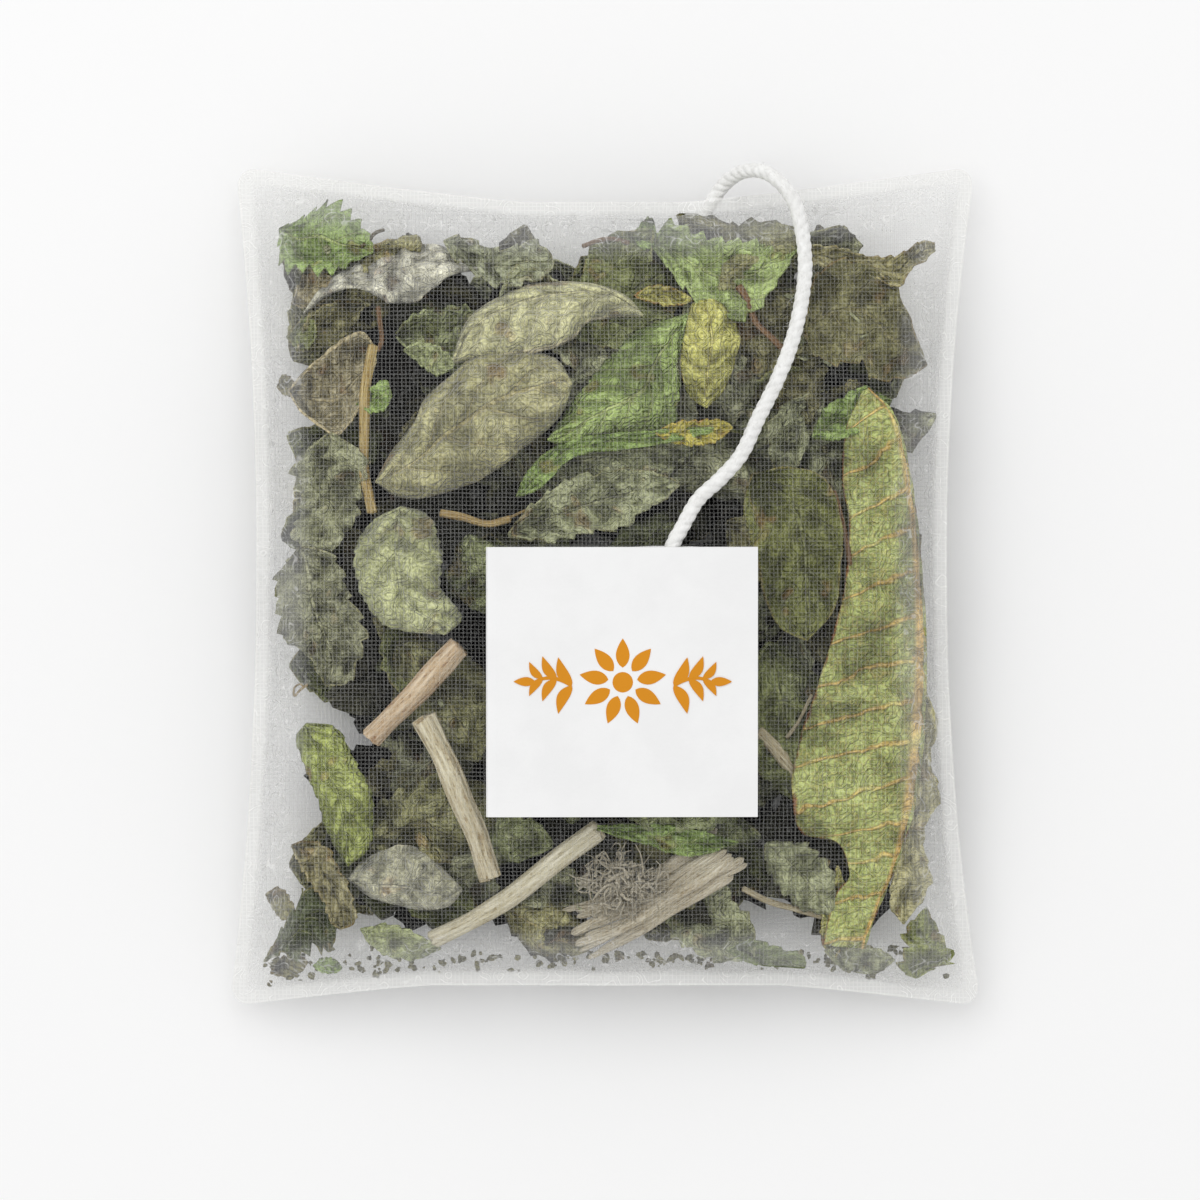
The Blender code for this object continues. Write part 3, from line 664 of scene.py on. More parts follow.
@once
def fibre_grain():
    """Node group: fibres that run along a stem, a string or a card, with dark pores and pale streaks."""
    colours = [(name, "Color", (0.5, 0.45, 0.3)) for name in ("Main", "Streak", "Pore")]
    numbers = [("Across", "Float", 6.0), ("Along", "Float", 0.3), ("Streaks", "Float", 0.5),
               ("Pores", "Float", 0.5)]
    nodes, given, out = new_group("fibre_grain", colours + numbers)
    uv = nodes.split(nodes.add("ShaderNodeTexCoord").outputs["UV"])
    turn = nodes.times(uv[0], 2 * math.pi)
    ring = nodes.join(nodes.times(nodes.math("COSINE", turn), given["Across"]),
                      nodes.times(nodes.math("SINE", turn), given["Across"]),
                      nodes.times(uv[1], given["Along"]))
    fibres = nodes.noise(ring, 1.0, 4.0, 0.7, 0.3)
    broad = nodes.noise(ring, 0.28, 2.0, 0.5)
    speck = nodes.noise(nodes.place(), 1500.0, 3.0, 0.7)
    streaks = nodes.times(nodes.ramp(fibres, 0.42, 0.62), given["Streaks"])
    colour = nodes.mix(streaks, given["Main"], given["Streak"])
    both = nodes.times_plus(fibres, 0.6, nodes.times(speck, 0.4))
    colour = nodes.mix(nodes.times(nodes.ramp(both, 0.46, 0.4), given["Pores"]), colour, given["Pore"])
    nodes.feed(out["Color"], nodes.mix(nodes.ramp(broad, 0.3, 0.7, 0.25, 0.0), colour, given["Pore"]))
    nodes.feed(out["Height"], nodes.times_plus(speck, 0.4, fibres))
    nodes.feed(out["Roughness"], nodes.ramp(speck, 0.3, 0.7, 0.7, 0.95))
    return nodes.tree


@once
def card_tooth():
    """Node group: an uncoated card or a print on it, a little darker in clouds, with a faint tooth."""
    colours = [("Main", "Color", (0.9, 0.9, 0.9)), ("Cloud", "Color", (0.85, 0.85, 0.85))]
    nodes, given, out = new_group("card_tooth", colours, SURFACE[:2])
    place = nodes.place()
    tooth = nodes.noise(place, 3200.0, 3.0, 0.6)
    cloud = nodes.noise(place, 160.0, 3.0, 0.6)
    nodes.feed(out["Color"], nodes.mix(nodes.ramp(cloud, 0.35, 0.65), given["Cloud"], given["Main"]))
    nodes.feed(out["Height"], nodes.math("ADD", tooth, cloud))
    return nodes.tree


def plain_finish(name):
    """A new material with its tree and its shader's inputs."""
    material = bpy.data.materials.new(name)
    material.use_nodes = True
    return material, Tree(material.node_tree), material.node_tree.nodes["Principled BSDF"].inputs


def finish_from(name, group, values, depth=0.0, strength=0.0, sheen=0.0, specular=0.25):
    """A material whose colour, roughness, cover and bump come from one of the node groups."""
    found = bpy.data.materials.get(name)
    if found:
        return found
    material, nodes, shader = plain_finish(name)
    made = nodes.add("ShaderNodeGroup", node_tree=group)
    for label, value in values.items():
        made.inputs[label].default_value = (*value, 1.0) if isinstance(value, tuple) else value
    for label, socket in (("Color", "Base Color"), ("Roughness", "Roughness"), ("Cover", "Alpha")):
        if label in made.outputs:
            nodes.feed(shader[socket], made.outputs[label])
    if depth:
        bump = nodes.add("ShaderNodeBump", {"Strength": strength, "Distance": depth * MM,
                                            "Height": made.outputs["Height"]})
        nodes.feed(shader["Normal"], bump.outputs[0])
    shader["Specular IOR Level"].default_value = specular
    shader["Sheen Weight"].default_value = sheen
    return material


# Tones of the dried leaves, red, green and blue from 0 to 255: main, vein and rim
LEAF_TONES = {
    "olive": ((170, 170, 100), (220, 186, 112), (142, 94, 56)),
    "green": ((134, 158, 84), (190, 198, 132), (104, 118, 60)),
    "mint": ((150, 172, 96), (204, 210, 146), (120, 136, 74)),
    "lime": ((196, 192, 104), (220, 208, 136), (164, 128, 70)),
    "sage": ((196, 194, 142), (224, 218, 176), (226, 216, 176)),
    "khaki": ((166, 162, 112), (192, 174, 118), (182, 168, 122)),
    "moss": ((156, 164, 114), (188, 192, 144), (132, 140, 94)),
    "dark_moss": ((108, 114, 66), (146, 150, 98), (130, 120, 70)),
    "dark_olive": ((128, 127, 84), (162, 154, 108), (116, 104, 64)),
    "silver": ((212, 208, 178), (226, 222, 198), (230, 222, 192)),
    "silver_green": ((168, 170, 132), (196, 196, 156), (150, 146, 104)),
    "grey_green": ((152, 156, 118), (184, 184, 144), (134, 130, 90)),
    "brown": ((156, 146, 112), (188, 174, 134), (206, 190, 146)),
    "umber": ((120, 116, 76), (146, 138, 94), (134, 116, 72)),
}
SPOT_TONE = (142, 96, 56)


def slot_of(tone_name):
    """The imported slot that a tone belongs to."""
    return {"mint": "green", "lime": "yellow_green"}.get(tone_name, tone_name) + "_leaf"


def scaled(colour, share, lift=0):
    """A colour from 0 to 255, brighter or darker by a share and lifted by a number."""
    return tuple(share * channel + lift for channel in colour)


def leaf_finish(name, tone_name, pairs=6.0, slant=0.12, veins=0.55, relief=-0.8, mottle=0.4, spots=0.5,
                rim=0.015, fuzz=0.12, sheen=0.0, depth=0.45, width=1.0, light=1.05, main=None):
    """A dried leaf in one of the tones, or in a main colour of its own with that tone's veins and rim."""
    own, vein, edge = (scaled(colour, light) for colour in LEAF_TONES[tone_name])
    main = main or own
    values = {
        "Main": tone(*main), "Pale": tone(*scaled(main, 1.05, 30)), "Dark": tone(*scaled(main, 0.84)),
        "Vein": tone(*vein), "Rim": tone(*edge), "Spot": tone(*SPOT_TONE), "Pairs": pairs, "Slant": slant,
        "Vein Strength": veins, "Vein Relief": relief, "Mottle": mottle, "Spots": spots, "Rim Width": rim,
        "Fuzz": fuzz, "Vein Width": width,
    }
    return finish_from(name, leaf_surface(), values, depth, 0.9, sheen)


def finish_leaf(piece, name, finish, tone_name, *veins, node=None, **looks):
    """Gives a piece the finish of a dried leaf in one of the tones."""
    material = leaf_finish(finish, tone_name, *veins, **looks)
    return finish_piece(piece, name, material, slot_of(tone_name), (node,) if node else ())


# Depth in millimetres of the grooves along a stem
STEM_RELIEF = 0.4


def stem_finish(name, main, streak, pore, across=3.2, along=0.35, streaks=1.0, pores=0.7):
    """Dry wood or straw, its streaks and pores running along it."""
    values = {"Main": tone(*main), "Streak": tone(*streak), "Pore": tone(*pore), "Across": across,
              "Along": along, "Streaks": streaks, "Pores": pores}
    return finish_from(name, fibre_grain(), values, STEM_RELIEF, 1.0)


# Leaves by their edges in the photograph, as x and y of pixels by turns: from base to tip along the left
# edge, then along the right
TRACED = {
    "long_leaf": (
        (868, 388, 893, 412, 906, 450, 916, 505, 922, 560, 927, 640, 926, 720, 919, 790, 906, 840, 888, 888,
         873, 925, 866, 950),
        (862, 392, 846, 430, 842, 480, 848, 520, 846, 570, 836, 620, 818, 690, 800, 745, 793, 790, 800, 832,
         836, 842, 850, 875, 836, 895, 824, 946)),
    "halfmoon_leaf": (
        (643, 316, 612, 317, 587, 322, 572, 340, 545, 351, 505, 356, 455, 363),
        (643, 316, 625, 296, 592, 284, 545, 282, 508, 293, 470, 318, 453, 360)),
    "broad_leaf": (
        (376, 482, 392, 453, 415, 424, 427, 398, 455, 373, 478, 357, 522, 352, 556, 360, 572, 384),
        (376, 482, 402, 498, 438, 494, 485, 477, 518, 454, 548, 430, 564, 408, 572, 384)),
    "mint_leaf": (
        (690, 313, 684, 360, 678, 400, 676, 422, 656, 432, 622, 436, 596, 441, 572, 448, 548, 440),
        (690, 313, 660, 322, 633, 334, 606, 362, 577, 396, 556, 428, 548, 440)),
    "yellow_leaf": (
        (706, 408, 722, 392, 733, 368, 740, 340, 731, 316, 716, 300, 704, 303),
        (706, 408, 690, 396, 682, 372, 683, 345, 688, 322, 692, 305, 704, 300)),
    "arched_leaf": (
        (303, 312, 322, 285, 356, 258, 396, 245, 432, 244, 462, 256, 478, 268),
        (303, 312, 332, 292, 365, 289, 398, 304, 416, 300, 440, 280, 478, 268)),
    "round_leaf": (
        (402, 507, 426, 514, 438, 533, 442, 560, 440, 586, 458, 607, 462, 620, 446, 634),
        (402, 507, 374, 521, 358, 545, 355, 572, 364, 602, 382, 623, 404, 630, 446, 634)),
    "shell_leaf": (
        (288, 390, 310, 366, 335, 346, 358, 332, 373, 344, 376, 362),
        (288, 390, 300, 410, 325, 430, 340, 434, 358, 412, 370, 380, 376, 362)),
    "corner_leaf": (
        (278, 226, 305, 214, 330, 200, 348, 213, 360, 222, 372, 243, 372, 252),
        (278, 226, 278, 250, 286, 268, 306, 268, 332, 271, 358, 258, 372, 252)),
    "shoulder_leaf": (
        (805, 330, 813, 283, 833, 263, 855, 260, 887, 273, 908, 312, 918, 338, 928, 364),
        (805, 330, 812, 352, 836, 362, 862, 360, 872, 380, 892, 380, 910, 377, 928, 364)),
    "rolled_leaf": (
        (812, 244, 838, 246, 866, 254, 890, 256, 908, 250, 922, 240, 937, 241),
        (812, 262, 842, 272, 872, 276, 898, 286, 912, 268, 926, 258, 937, 249)),
    "top_left_leaf": (
        (652, 244, 668, 222, 697, 232, 718, 240, 745, 242, 775, 240, 800, 246),
        (652, 244, 664, 262, 682, 286, 706, 306, 735, 318, 765, 300, 800, 246)),
    "lobed_leaf": (
        (444, 240, 458, 235, 472, 239, 490, 248, 510, 247, 530, 240, 546, 247, 554, 262),
        (444, 240, 452, 256, 470, 270, 492, 284, 515, 284, 535, 280, 548, 274, 554, 262)),
    "dark_leaf": (
        (752, 474, 788, 468, 826, 480, 842, 520, 840, 570, 832, 612, 806, 640),
        (752, 474, 744, 500, 748, 535, 758, 570, 766, 602, 780, 628, 806, 640)),
    "drooping_leaf": (
        (306, 724, 335, 728, 352, 757, 370, 790, 373, 822, 368, 848, 348, 866),
        (306, 724, 296, 740, 306, 770, 318, 800, 324, 824, 334, 846, 348, 866)),
    "folded_leaf": (
        (348, 880, 366, 858, 405, 845, 432, 860, 450, 876, 462, 890),
        (348, 880, 372, 898, 405, 906, 430, 909, 450, 905, 462, 890)),
    "curled_leaf": (
        (291, 846, 305, 842, 325, 846, 337, 865, 347, 886, 356, 920, 340, 930),
        (291, 846, 300, 866, 312, 884, 322, 900, 328, 915, 332, 924, 340, 930)),
    "foot_left_leaf": (
        (262, 964, 282, 928, 300, 900, 303, 888, 318, 893, 334, 918, 334, 938),
        (262, 964, 283, 954, 293, 962, 312, 948, 326, 954, 332, 946, 334, 938)),
    "foot_right_leaf": (
        (727, 951, 750, 940, 780, 949, 804, 957, 806, 970),
        (727, 951, 747, 963, 773, 971, 802, 980, 806, 970)),
    "foot_corner_leaf": (
        (918, 982, 902, 970, 908, 950, 906, 934, 918, 918, 928, 909),
        (918, 982, 937, 970, 957, 962, 946, 942, 937, 926, 928, 909)),
    "upper_left_leaf": (
        (330, 432, 352, 446, 366, 470, 360, 500, 350, 530, 322, 560),
        (330, 432, 300, 456, 294, 482, 302, 505, 292, 535, 322, 560)),
    "lower_left_leaf": (
        (300, 545, 332, 556, 352, 600, 366, 640, 350, 680, 326, 686),
        (300, 545, 278, 575, 274, 612, 284, 636, 308, 656, 326, 686)),
    "side_leaf": (
        (926, 690, 940, 727, 932, 755, 941, 800, 928, 822, 926, 850, 931, 886, 905, 925),
        (926, 690, 912, 730, 908, 770, 905, 800, 900, 840, 893, 880, 890, 905, 905, 925)),
    "scrap_leaf": (
        (656, 434, 672, 424, 696, 420, 722, 421, 732, 428),
        (656, 434, 672, 443, 696, 446, 716, 442, 732, 428)),
}

# Leaves by a middle line: middle as shares of the bag's half size, chord's turn and length, half widths, bow
SPUN = {
    "top_right_leaf": ((0.38, 0.75), 34, 12.4, (3.6, 3.8), 0.8),
    "tag_side_leaf": ((-0.03, 0.18), 17, 16.6, (2.9, 2.7), 0.5),
    "hem_leaf": ((0.51, -0.69), -47, 9.0, (2.6, 2.6), 0.4),
    "inner_left_leaf": ((-0.44, -0.27), -56, 13.5, (4.4, 4.2), 0.6),
    "inner_top_leaf": ((0.05, 0.69), 28, 13.8, (4.6, 4.8), 0.0),
    "inner_right_leaf": ((0.47, -0.32), -79, 15.2, (4.6, 4.4), 0.0),
    "middle_top_leaf": ((0.44, 0.56), -62, 15.6, (4.6, 4.4), 0.6),
    "middle_right_leaf": ((0.43, 0.33), 22, 14.8, (4.0, 4.2), 0.6),
    "middle_left_leaf": ((0.03, 0.30), 10, 15.4, (4.0, 3.8), 0.4),
    "middle_hem_leaf": ((0.21, -0.51), 4, 12.6, (3.6, 3.4), 0.4),
    "middle_foot_leaf": ((-0.46, -0.56), 18, 15.0, (4.2, 4.2), 0.4),
}

# Look of each leaf: tone, place of the midrib from the right edge to the left, vein pairs, slant, vein
# strength, crumple in millimetres and its size, quilting between veins, roll of the edges, teeth and
# their depth, raggedness, and what else its finish takes
LEAF_LOOKS = {
    "long_leaf": ("olive", 0.965, 14, 0.025, 1.0, 0.3, 6.0, -0.2, 0.0, 0, 0.0, 0.02,
                  {"main": (178, 188, 112), "relief": 1.3, "fuzz": 0.04, "width": 1.5, "mottle": 0.25,
                   "spots": 0.25}),
    "halfmoon_leaf": ("sage", 0.2, 7, 0.2, 0.5, 0.16, 5.0, 0.12, -1.5, 0, 0.0, 0.02,
                      {"main": (204, 202, 150), "rim": 0.09, "sheen": 0.3}),
    "broad_leaf": ("khaki", 0.55, 5, 0.3, 0.35, 0.16, 4.5, 0.08, -1.7, 0, 0.0, 0.03,
                   {"main": (178, 174, 124), "fuzz": 0.2, "sheen": 0.3}),
    "mint_leaf": ("mint", 0.5, 8, 0.22, 0.6, 0.22, 4.0, 0.26, -0.9, 22, 0.05, 0.03,
                  {"main": (160, 182, 104)}),
    "yellow_leaf": ("lime", 0.5, 6, 0.2, 0.5, 0.2, 3.0, 0.14, -0.8, 0, 0.0, 0.03,
                    {"main": (206, 204, 112), "spots": 0.3}),
    "arched_leaf": ("silver", 0.6, 5, 0.2, 0.3, 0.8, 2.2, 0.05, -1.6, 0, 0.0, 0.16,
                    {"main": (232, 229, 204), "fuzz": 0.4, "sheen": 0.5}),
    "round_leaf": ("moss", 0.5, 5, 0.25, 0.5, 0.18, 3.6, 0.16, -0.7, 16, 0.04, 0.04,
                   {"main": (182, 186, 130), "fuzz": 0.3, "sheen": 0.3}),
    "shell_leaf": ("brown", 0.4, 7, 0.1, 0.4, 0.3, 2.0, 0.1, 1.4, 0, 0.0, 0.04,
                   {"main": (145, 136, 104), "rim": 0.05, "fuzz": 0.25}),
    "corner_leaf": ("green", 0.5, 4, 0.3, 0.6, 0.25, 2.6, 0.12, 0.2, 9, 0.22, 0.05, {"main": (142, 166, 92)}),
    "shoulder_leaf": ("umber", 0.5, 6, 0.2, 0.5, 0.45, 4.0, 0.15, 0.4, 7, 0.06, 0.06,
                      {"main": (109, 106, 65), "spots": 0.35, "rim": 0.02}),
    "rolled_leaf": ("umber", 0.5, 6, 0.2, 0.4, 0.4, 2.4, 0.1, 0.7, 9, 0.12, 0.1, {"main": (160, 154, 107)}),
    "top_left_leaf": ("green", 0.5, 6, 0.25, 0.5, 0.4, 3.2, 0.14, 0.4, 9, 0.14, 0.08,
                      {"main": (161, 180, 108), "spots": 0.6}),
    "top_right_leaf": ("dark_olive", 0.5, 6, 0.25, 0.5, 0.5, 3.2, 0.14, -0.3, 8, 0.12, 0.1, {}),
    "lobed_leaf": ("grey_green", 0.5, 5, 0.25, 0.5, 0.4, 2.6, 0.12, 0.4, 6, 0.18, 0.08,
                   {"main": (153, 157, 125)}),
    "dark_leaf": ("dark_moss", 0.55, 7, 0.25, 0.5, 0.35, 5.0, 0.18, 0.4, 0, 0.0, 0.04,
                  {"main": (100, 104, 47), "rim": 0.03}),
    "drooping_leaf": ("green", 0.4, 7, 0.25, 0.5, 0.25, 3.5, 0.14, -1.2, 12, 0.05, 0.04,
                      {"main": (174, 185, 100), "spots": 0.7}),
    "folded_leaf": ("silver", 0.3, 6, 0.15, 0.3, 0.35, 2.6, 0.08, -1.2, 0, 0.0, 0.05,
                    {"main": (181, 179, 148), "fuzz": 0.3, "sheen": 0.4}),
    "curled_leaf": ("umber", 0.5, 5, 0.2, 0.4, 0.45, 2.2, 0.1, 0.7, 8, 0.12, 0.08, {"main": (144, 137, 97)}),
    "foot_left_leaf": ("dark_moss", 0.5, 4, 0.3, 0.6, 0.3, 2.4, 0.12, 0.2, 7, 0.24, 0.08,
                       {"main": (71, 79, 45)}),
    "foot_right_leaf": ("moss", 0.5, 4, 0.3, 0.5, 0.25, 2.4, 0.1, 0.2, 6, 0.14, 0.08,
                        {"main": (112, 125, 72)}),
    "foot_corner_leaf": ("dark_moss", 0.5, 4, 0.3, 0.5, 0.3, 2.2, 0.1, 0.2, 6, 0.2, 0.08,
                         {"main": (131, 139, 70)}),
    "upper_left_leaf": ("silver_green", 0.5, 6, 0.2, 0.45, 0.7, 2.4, 0.1, 0.5, 9, 0.1, 0.12,
                        {"main": (147, 149, 112), "fuzz": 0.2}),
    "lower_left_leaf": ("silver_green", 0.5, 6, 0.2, 0.45, 0.7, 2.4, 0.1, 0.5, 9, 0.1, 0.12,
                        {"main": (130, 131, 99), "fuzz": 0.2}),
    "side_leaf": ("grey_green", 0.5, 6, 0.2, 0.45, 0.4, 2.6, 0.1, 0.4, 12, 0.12, 0.1,
                  {"main": (185, 179, 129)}),
    "scrap_leaf": ("lime", 0.5, 4, 0.2, 0.4, 0.3, 2.2, 0.1, 0.2, 7, 0.1, 0.1,
                   {"main": (180, 169, 72), "spots": 0.8}),
    "tag_side_leaf": ("grey_green", 0.5, 6, 0.2, 0.45, 0.5, 3.0, 0.1, 0.4, 9, 0.1, 0.12, {}),
    "hem_leaf": ("grey_green", 0.5, 5, 0.2, 0.45, 0.5, 2.6, 0.1, -0.4, 8, 0.1, 0.12, {}),
    "inner_left_leaf": ("dark_olive", 0.5, 6, 0.25, 0.4, 0.5, 3.2, 0.1, -0.3, 9, 0.06, 0.1, {}),
    "inner_top_leaf": ("dark_moss", 0.5, 6, 0.25, 0.4, 0.5, 3.2, 0.1, 0.3, 9, 0.06, 0.1, {}),
    "inner_right_leaf": ("dark_moss", 0.5, 6, 0.25, 0.4, 0.5, 3.2, 0.1, -0.3, 9, 0.06, 0.1, {}),
    "middle_top_leaf": ("umber", 0.5, 6, 0.25, 0.4, 0.7, 3.0, 0.1, -0.3, 9, 0.1, 0.14, {}),
    "middle_right_leaf": ("grey_green", 0.5, 6, 0.25, 0.4, 0.7, 3.0, 0.1, -0.3, 9, 0.1, 0.14, {}),
    "middle_left_leaf": ("grey_green", 0.5, 6, 0.25, 0.4, 0.7, 3.0, 0.1, -0.3, 9, 0.1, 0.14, {}),
    "middle_hem_leaf": ("moss", 0.5, 6, 0.25, 0.4, 0.5, 3.0, 0.1, -0.3, 9, 0.08, 0.12, {}),
    "middle_foot_leaf": ("dark_olive", 0.5, 6, 0.25, 0.4, 0.7, 3.0, 0.1, -0.3, 9, 0.1, 0.14, {}),
}

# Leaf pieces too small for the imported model: tone, depth under the front gauze, and their traced edges
SCRAPS = {
    "mint_tail": (
        "green", 2.2,
        (517, 497, 530, 470, 552, 450, 590, 437, 640, 432, 700, 428, 724, 430),
        (517, 497, 535, 492, 556, 474, 575, 456, 610, 451, 650, 446, 724, 430)),
    "long_leaf_crown": (
        "green", 1.2,
        (812, 438, 822, 412, 845, 396, 868, 388, 892, 400),
        (812, 438, 838, 440, 860, 432, 880, 424, 892, 400)),
    "leaflet": (
        "green", 0.7,
        (357, 405, 372, 388, 386, 380, 392, 396),
        (357, 405, 368, 412, 384, 411, 392, 396)),
    "left_brown_bit": (
        "brown", 2.6,
        (290, 302, 300, 276, 318, 268, 334, 280),
        (290, 302, 306, 306, 322, 300, 334, 280)),
    "yellow_bud": (
        "lime", 2.0,
        (634, 296, 650, 286, 672, 286, 694, 300),
        (634, 296, 652, 302, 672, 306, 694, 300)),
    "top_leaf_tip": (
        "green", 1.6,
        (636, 240, 640, 222, 652, 216, 656, 232),
        (636, 240, 642, 247, 652, 246, 656, 232)),
    "far_left_bit": (
        "dark_moss", 1.0,
        (286, 336, 296, 322, 312, 318, 316, 334),
        (286, 336, 298, 350, 308, 348, 316, 334)),
    "left_shell_bit": (
        "umber", 0.8,
        (276, 386, 282, 374, 292, 380, 294, 390),
        (276, 386, 284, 394, 290, 394, 294, 390)),
    "tail_green": (
        "moss", 2.6,
        (404, 350, 420, 342, 445, 350, 456, 366),
        (404, 350, 418, 362, 436, 376, 456, 366)),
    "foot_left_bit": (
        "umber", 1.0,
        (264, 896, 276, 890, 290, 902, 294, 916),
        (264, 896, 270, 908, 280, 922, 294, 916)),
    "foot_left_fork": (
        "umber", 0.8,
        (268, 976, 278, 962, 294, 956, 306, 964),
        (268, 976, 282, 979, 298, 975, 306, 964)),
    "foot_left_tip": (
        "green", 0.8,
        (312, 968, 322, 960, 334, 962, 340, 970),
        (312, 968, 320, 975, 332, 977, 340, 970)),
    "hem_middle_leaf": (
        "moss", 1.4,
        (360, 930, 390, 925, 420, 936, 440, 950),
        (360, 930, 376, 952, 410, 962, 440, 950)),
    "hem_far_leaf": (
        "grey_green", 1.2,
        (826, 952, 850, 946, 880, 950, 896, 962),
        (826, 952, 846, 974, 872, 982, 896, 962)),
    "bark_top_leaf": (
        "green", 1.0,
        (590, 826, 640, 824, 690, 828, 738, 842),
        (590, 826, 640, 842, 690, 856, 738, 842)),
    "right_gap_leaf": (
        "olive", 1.6,
        (838, 866, 850, 900, 846, 940, 836, 960),
        (838, 866, 826, 900, 822, 940, 836, 960)),
    "long_leaf_back": (
        "umber", 2.4,
        (846, 386, 850, 380, 864, 384, 868, 392),
        (846, 386, 848, 398, 856, 402, 868, 392)),
}

# Thin stalks of the photograph: route in pixels, depth under the front gauze, thickness in millimetres, tone
STALKS = {
    "red_stalk": ((833, 490, 840, 515, 846, 540, 850, 566), 0.9, 0.55, "rust"),
    "ochre_stalk": ((440, 513, 462, 517, 488, 524, 512, 519), 1.4, 0.75, "ochre"),
    "tendril": ((308, 684, 300, 690, 294, 696, 294, 688, 300, 684, 304, 688), 0.8, 0.22, "ochre"),
    "top_twig": ((582, 246, 598, 240, 612, 238, 630, 242), 1.0, 0.45, "rust"),
    "rust_twig": ((738, 285, 748, 300, 756, 322, 772, 338, 786, 352), 1.6, 0.7, "rust"),
    "gap_stalk": ((757, 730, 775, 748, 792, 768, 806, 782), 2.0, 1.3, "straw"),
    "hem_stalk": ((742, 888, 770, 902, 798, 910, 826, 918), 1.8, 0.6, "straw"),
    "fork_stalk": ((786, 738, 798, 722, 806, 706, 812, 694), 2.2, 0.35, "straw"),
    "arch_stalk": ((378, 306, 380, 322, 382, 340, 378, 352), 0.8, 0.5, "rust"),
    "corner_stalk": ((360, 246, 368, 240, 374, 232, 384, 228), 1.4, 0.35, "umber"),
    "net_vein": ((505, 520, 540, 505, 580, 492, 640, 470), 2.4, 0.3, "ochre"),
}

STALK_TONES = {
    "rust": ((128, 98, 70), (158, 126, 92), (78, 56, 42)),
    "ochre": ((178, 150, 96), (206, 182, 126), (110, 78, 46)),
    "straw": ((188, 174, 140), (214, 204, 172), (120, 98, 66)),
    "umber": ((96, 84, 54), (124, 110, 74), (60, 48, 30)),
}


def spun_edges(middle, turn, length, half_widths, bow, rows=24):
    """The left and right edge of a leaf about a bowed middle line."""
    turn = math.radians(turn)
    ahead = np.array((math.cos(turn), math.sin(turn)))
    left = leftward(ahead)
    centre = np.array((middle[0] * BAG_WIDTH / 2, middle[1] * BAG_HEIGHT / 2))
    t = np.linspace(0, 1, rows)[:, None]
    line = centre + ahead * length * (t - 0.5) + left * bow * 4 * t * (1 - t)
    width = np.maximum(0.04, np.sin(np.pi * t) ** 0.75)
    return line + left * half_widths[0] * width, line - left * half_widths[1] * width


# How much deeper than the crumple of the table the folds go
FOLD_DEPTH = 2.2


def held_back(share, start=-0.935, room=0.015):
    """A share of the bag's half height, eased so that nothing reaches into the seal at the bottom."""
    return np.maximum(share, start) - room * np.tanh(np.maximum(start - share, 0) / room)


def leaf_points(left, right, height, seed, rib=0.5, pairs=6, slant=0.2, crumple=0.3, size=3.0, quilt=0.1,
                roll=0.0, teeth=0, tooth=0.0, ragged=0.05, rows=58, columns=28):
    """Rows of points of a leaf between two edges, lying at a height, and its shares across and along."""
    left = smooth(left, rows)[:, None]
    right = smooth(right, rows)[:, None]
    middle = blend(right, left, rib)
    side = np.sin(np.linspace(-math.pi / 2, math.pi / 2, columns))[None, :, None]
    side = blend(np.linspace(-1, 1, columns)[None, :, None], side, 0.4)
    along = np.linspace(0, 1, rows)[:, None, None]
    saw = np.mod(along * teeth + 0.25 * np.sign(side), 1.0) - 0.5 if teeth else 0.0
    wander = noise(along * 9, np.sign(side) * 3.3 + seed, seed)
    wander = wander + 0.6 * noise(along * 23, np.sign(side) + seed, seed)
    reach = 1 + (tooth * 2 * saw + ragged * wander) * np.abs(side) ** 5
    edge = np.where(side > 0, left, right)
    place = middle + (edge - middle) * np.abs(side) * reach
    u, v = shares(place[..., 0], place[..., 1])
    x, y = plan(u, held_back(v))
    side, along = side[..., 0], along[..., 0]
    folds = creases(x / size, y / size, seed) - 0.5 + 0.35 * noise(x * 1.3, y * 1.3, seed + 5)
    phase = (along - slant * np.abs(side) ** 1.3) * pairs + 0.5 * (side > 0)
    pillows = np.cos(2 * np.pi * phase) * (1 - 0.5 * np.abs(side))
    rise = FOLD_DEPTH * crumple * (folds - 0.45) - quilt * pillows - abs(quilt)
    rise = rise - 0.2 * np.exp(-(side / 0.07) ** 2) * (quilt > 0.05)
    rise = rise + roll * np.clip((np.abs(side) - 0.35) / 0.65, 0, 1) ** 2
    rise = rise + 0.35 * roll * noise(along * 5, np.sign(side) * 2 + seed, seed + 9) * np.abs(side) ** 3
    low, high = inside(x, y)
    z = np.clip(height(x, y) + rise, low + 0.1, high - 0.05 - 0.03 * np.abs(side))
    # Values for the painted shade and highlight of the finish: darker in fold valleys and the quilting's
    # hollows, lighter on ridges, darker at edges rolled down and lighter at edges rolled up, and darker the
    # deeper a place lies under the front gauze
    folds = crumple / (crumple + 0.3) * 1.1 * folds - 0.2 * pillows * (quilt > 0.05)
    folds = np.clip(0.62 + folds + 0.3 * np.sign(roll) * np.abs(side) ** 4, 0, 1)
    depth = np.clip(1 - (high - z) / np.maximum(high - low, 3.0), 0, 1)
    points = np.stack([x, y, z], -1)
    facing = np.cross(np.diff(points, axis=1)[:-1], np.diff(points, axis=0)[:, :-1])[..., 2].sum()
    across = (side + 1) / 2 + 0 * along
    along = along + 0 * side
    made = (points, across, along, folds, depth)
    return tuple(part[:, ::-1] for part in made) if facing < 0 else made


def curled(centre, share, lean, curl, turn):
    """A height over the plan that leans about a place in the depth of the bag and curls across the leaf."""
    low, high = inside(*centre)
    middle = blend(low, high, share)

    def height(x, y):
        along = (x - centre[0]) * math.cos(turn) + (y - centre[1]) * math.sin(turn)
        across = (y - centre[1]) * math.cos(turn) - (x - centre[0]) * math.sin(turn)
        return middle + lean[0] * along + lean[1] * across + curl * across**2

    return height


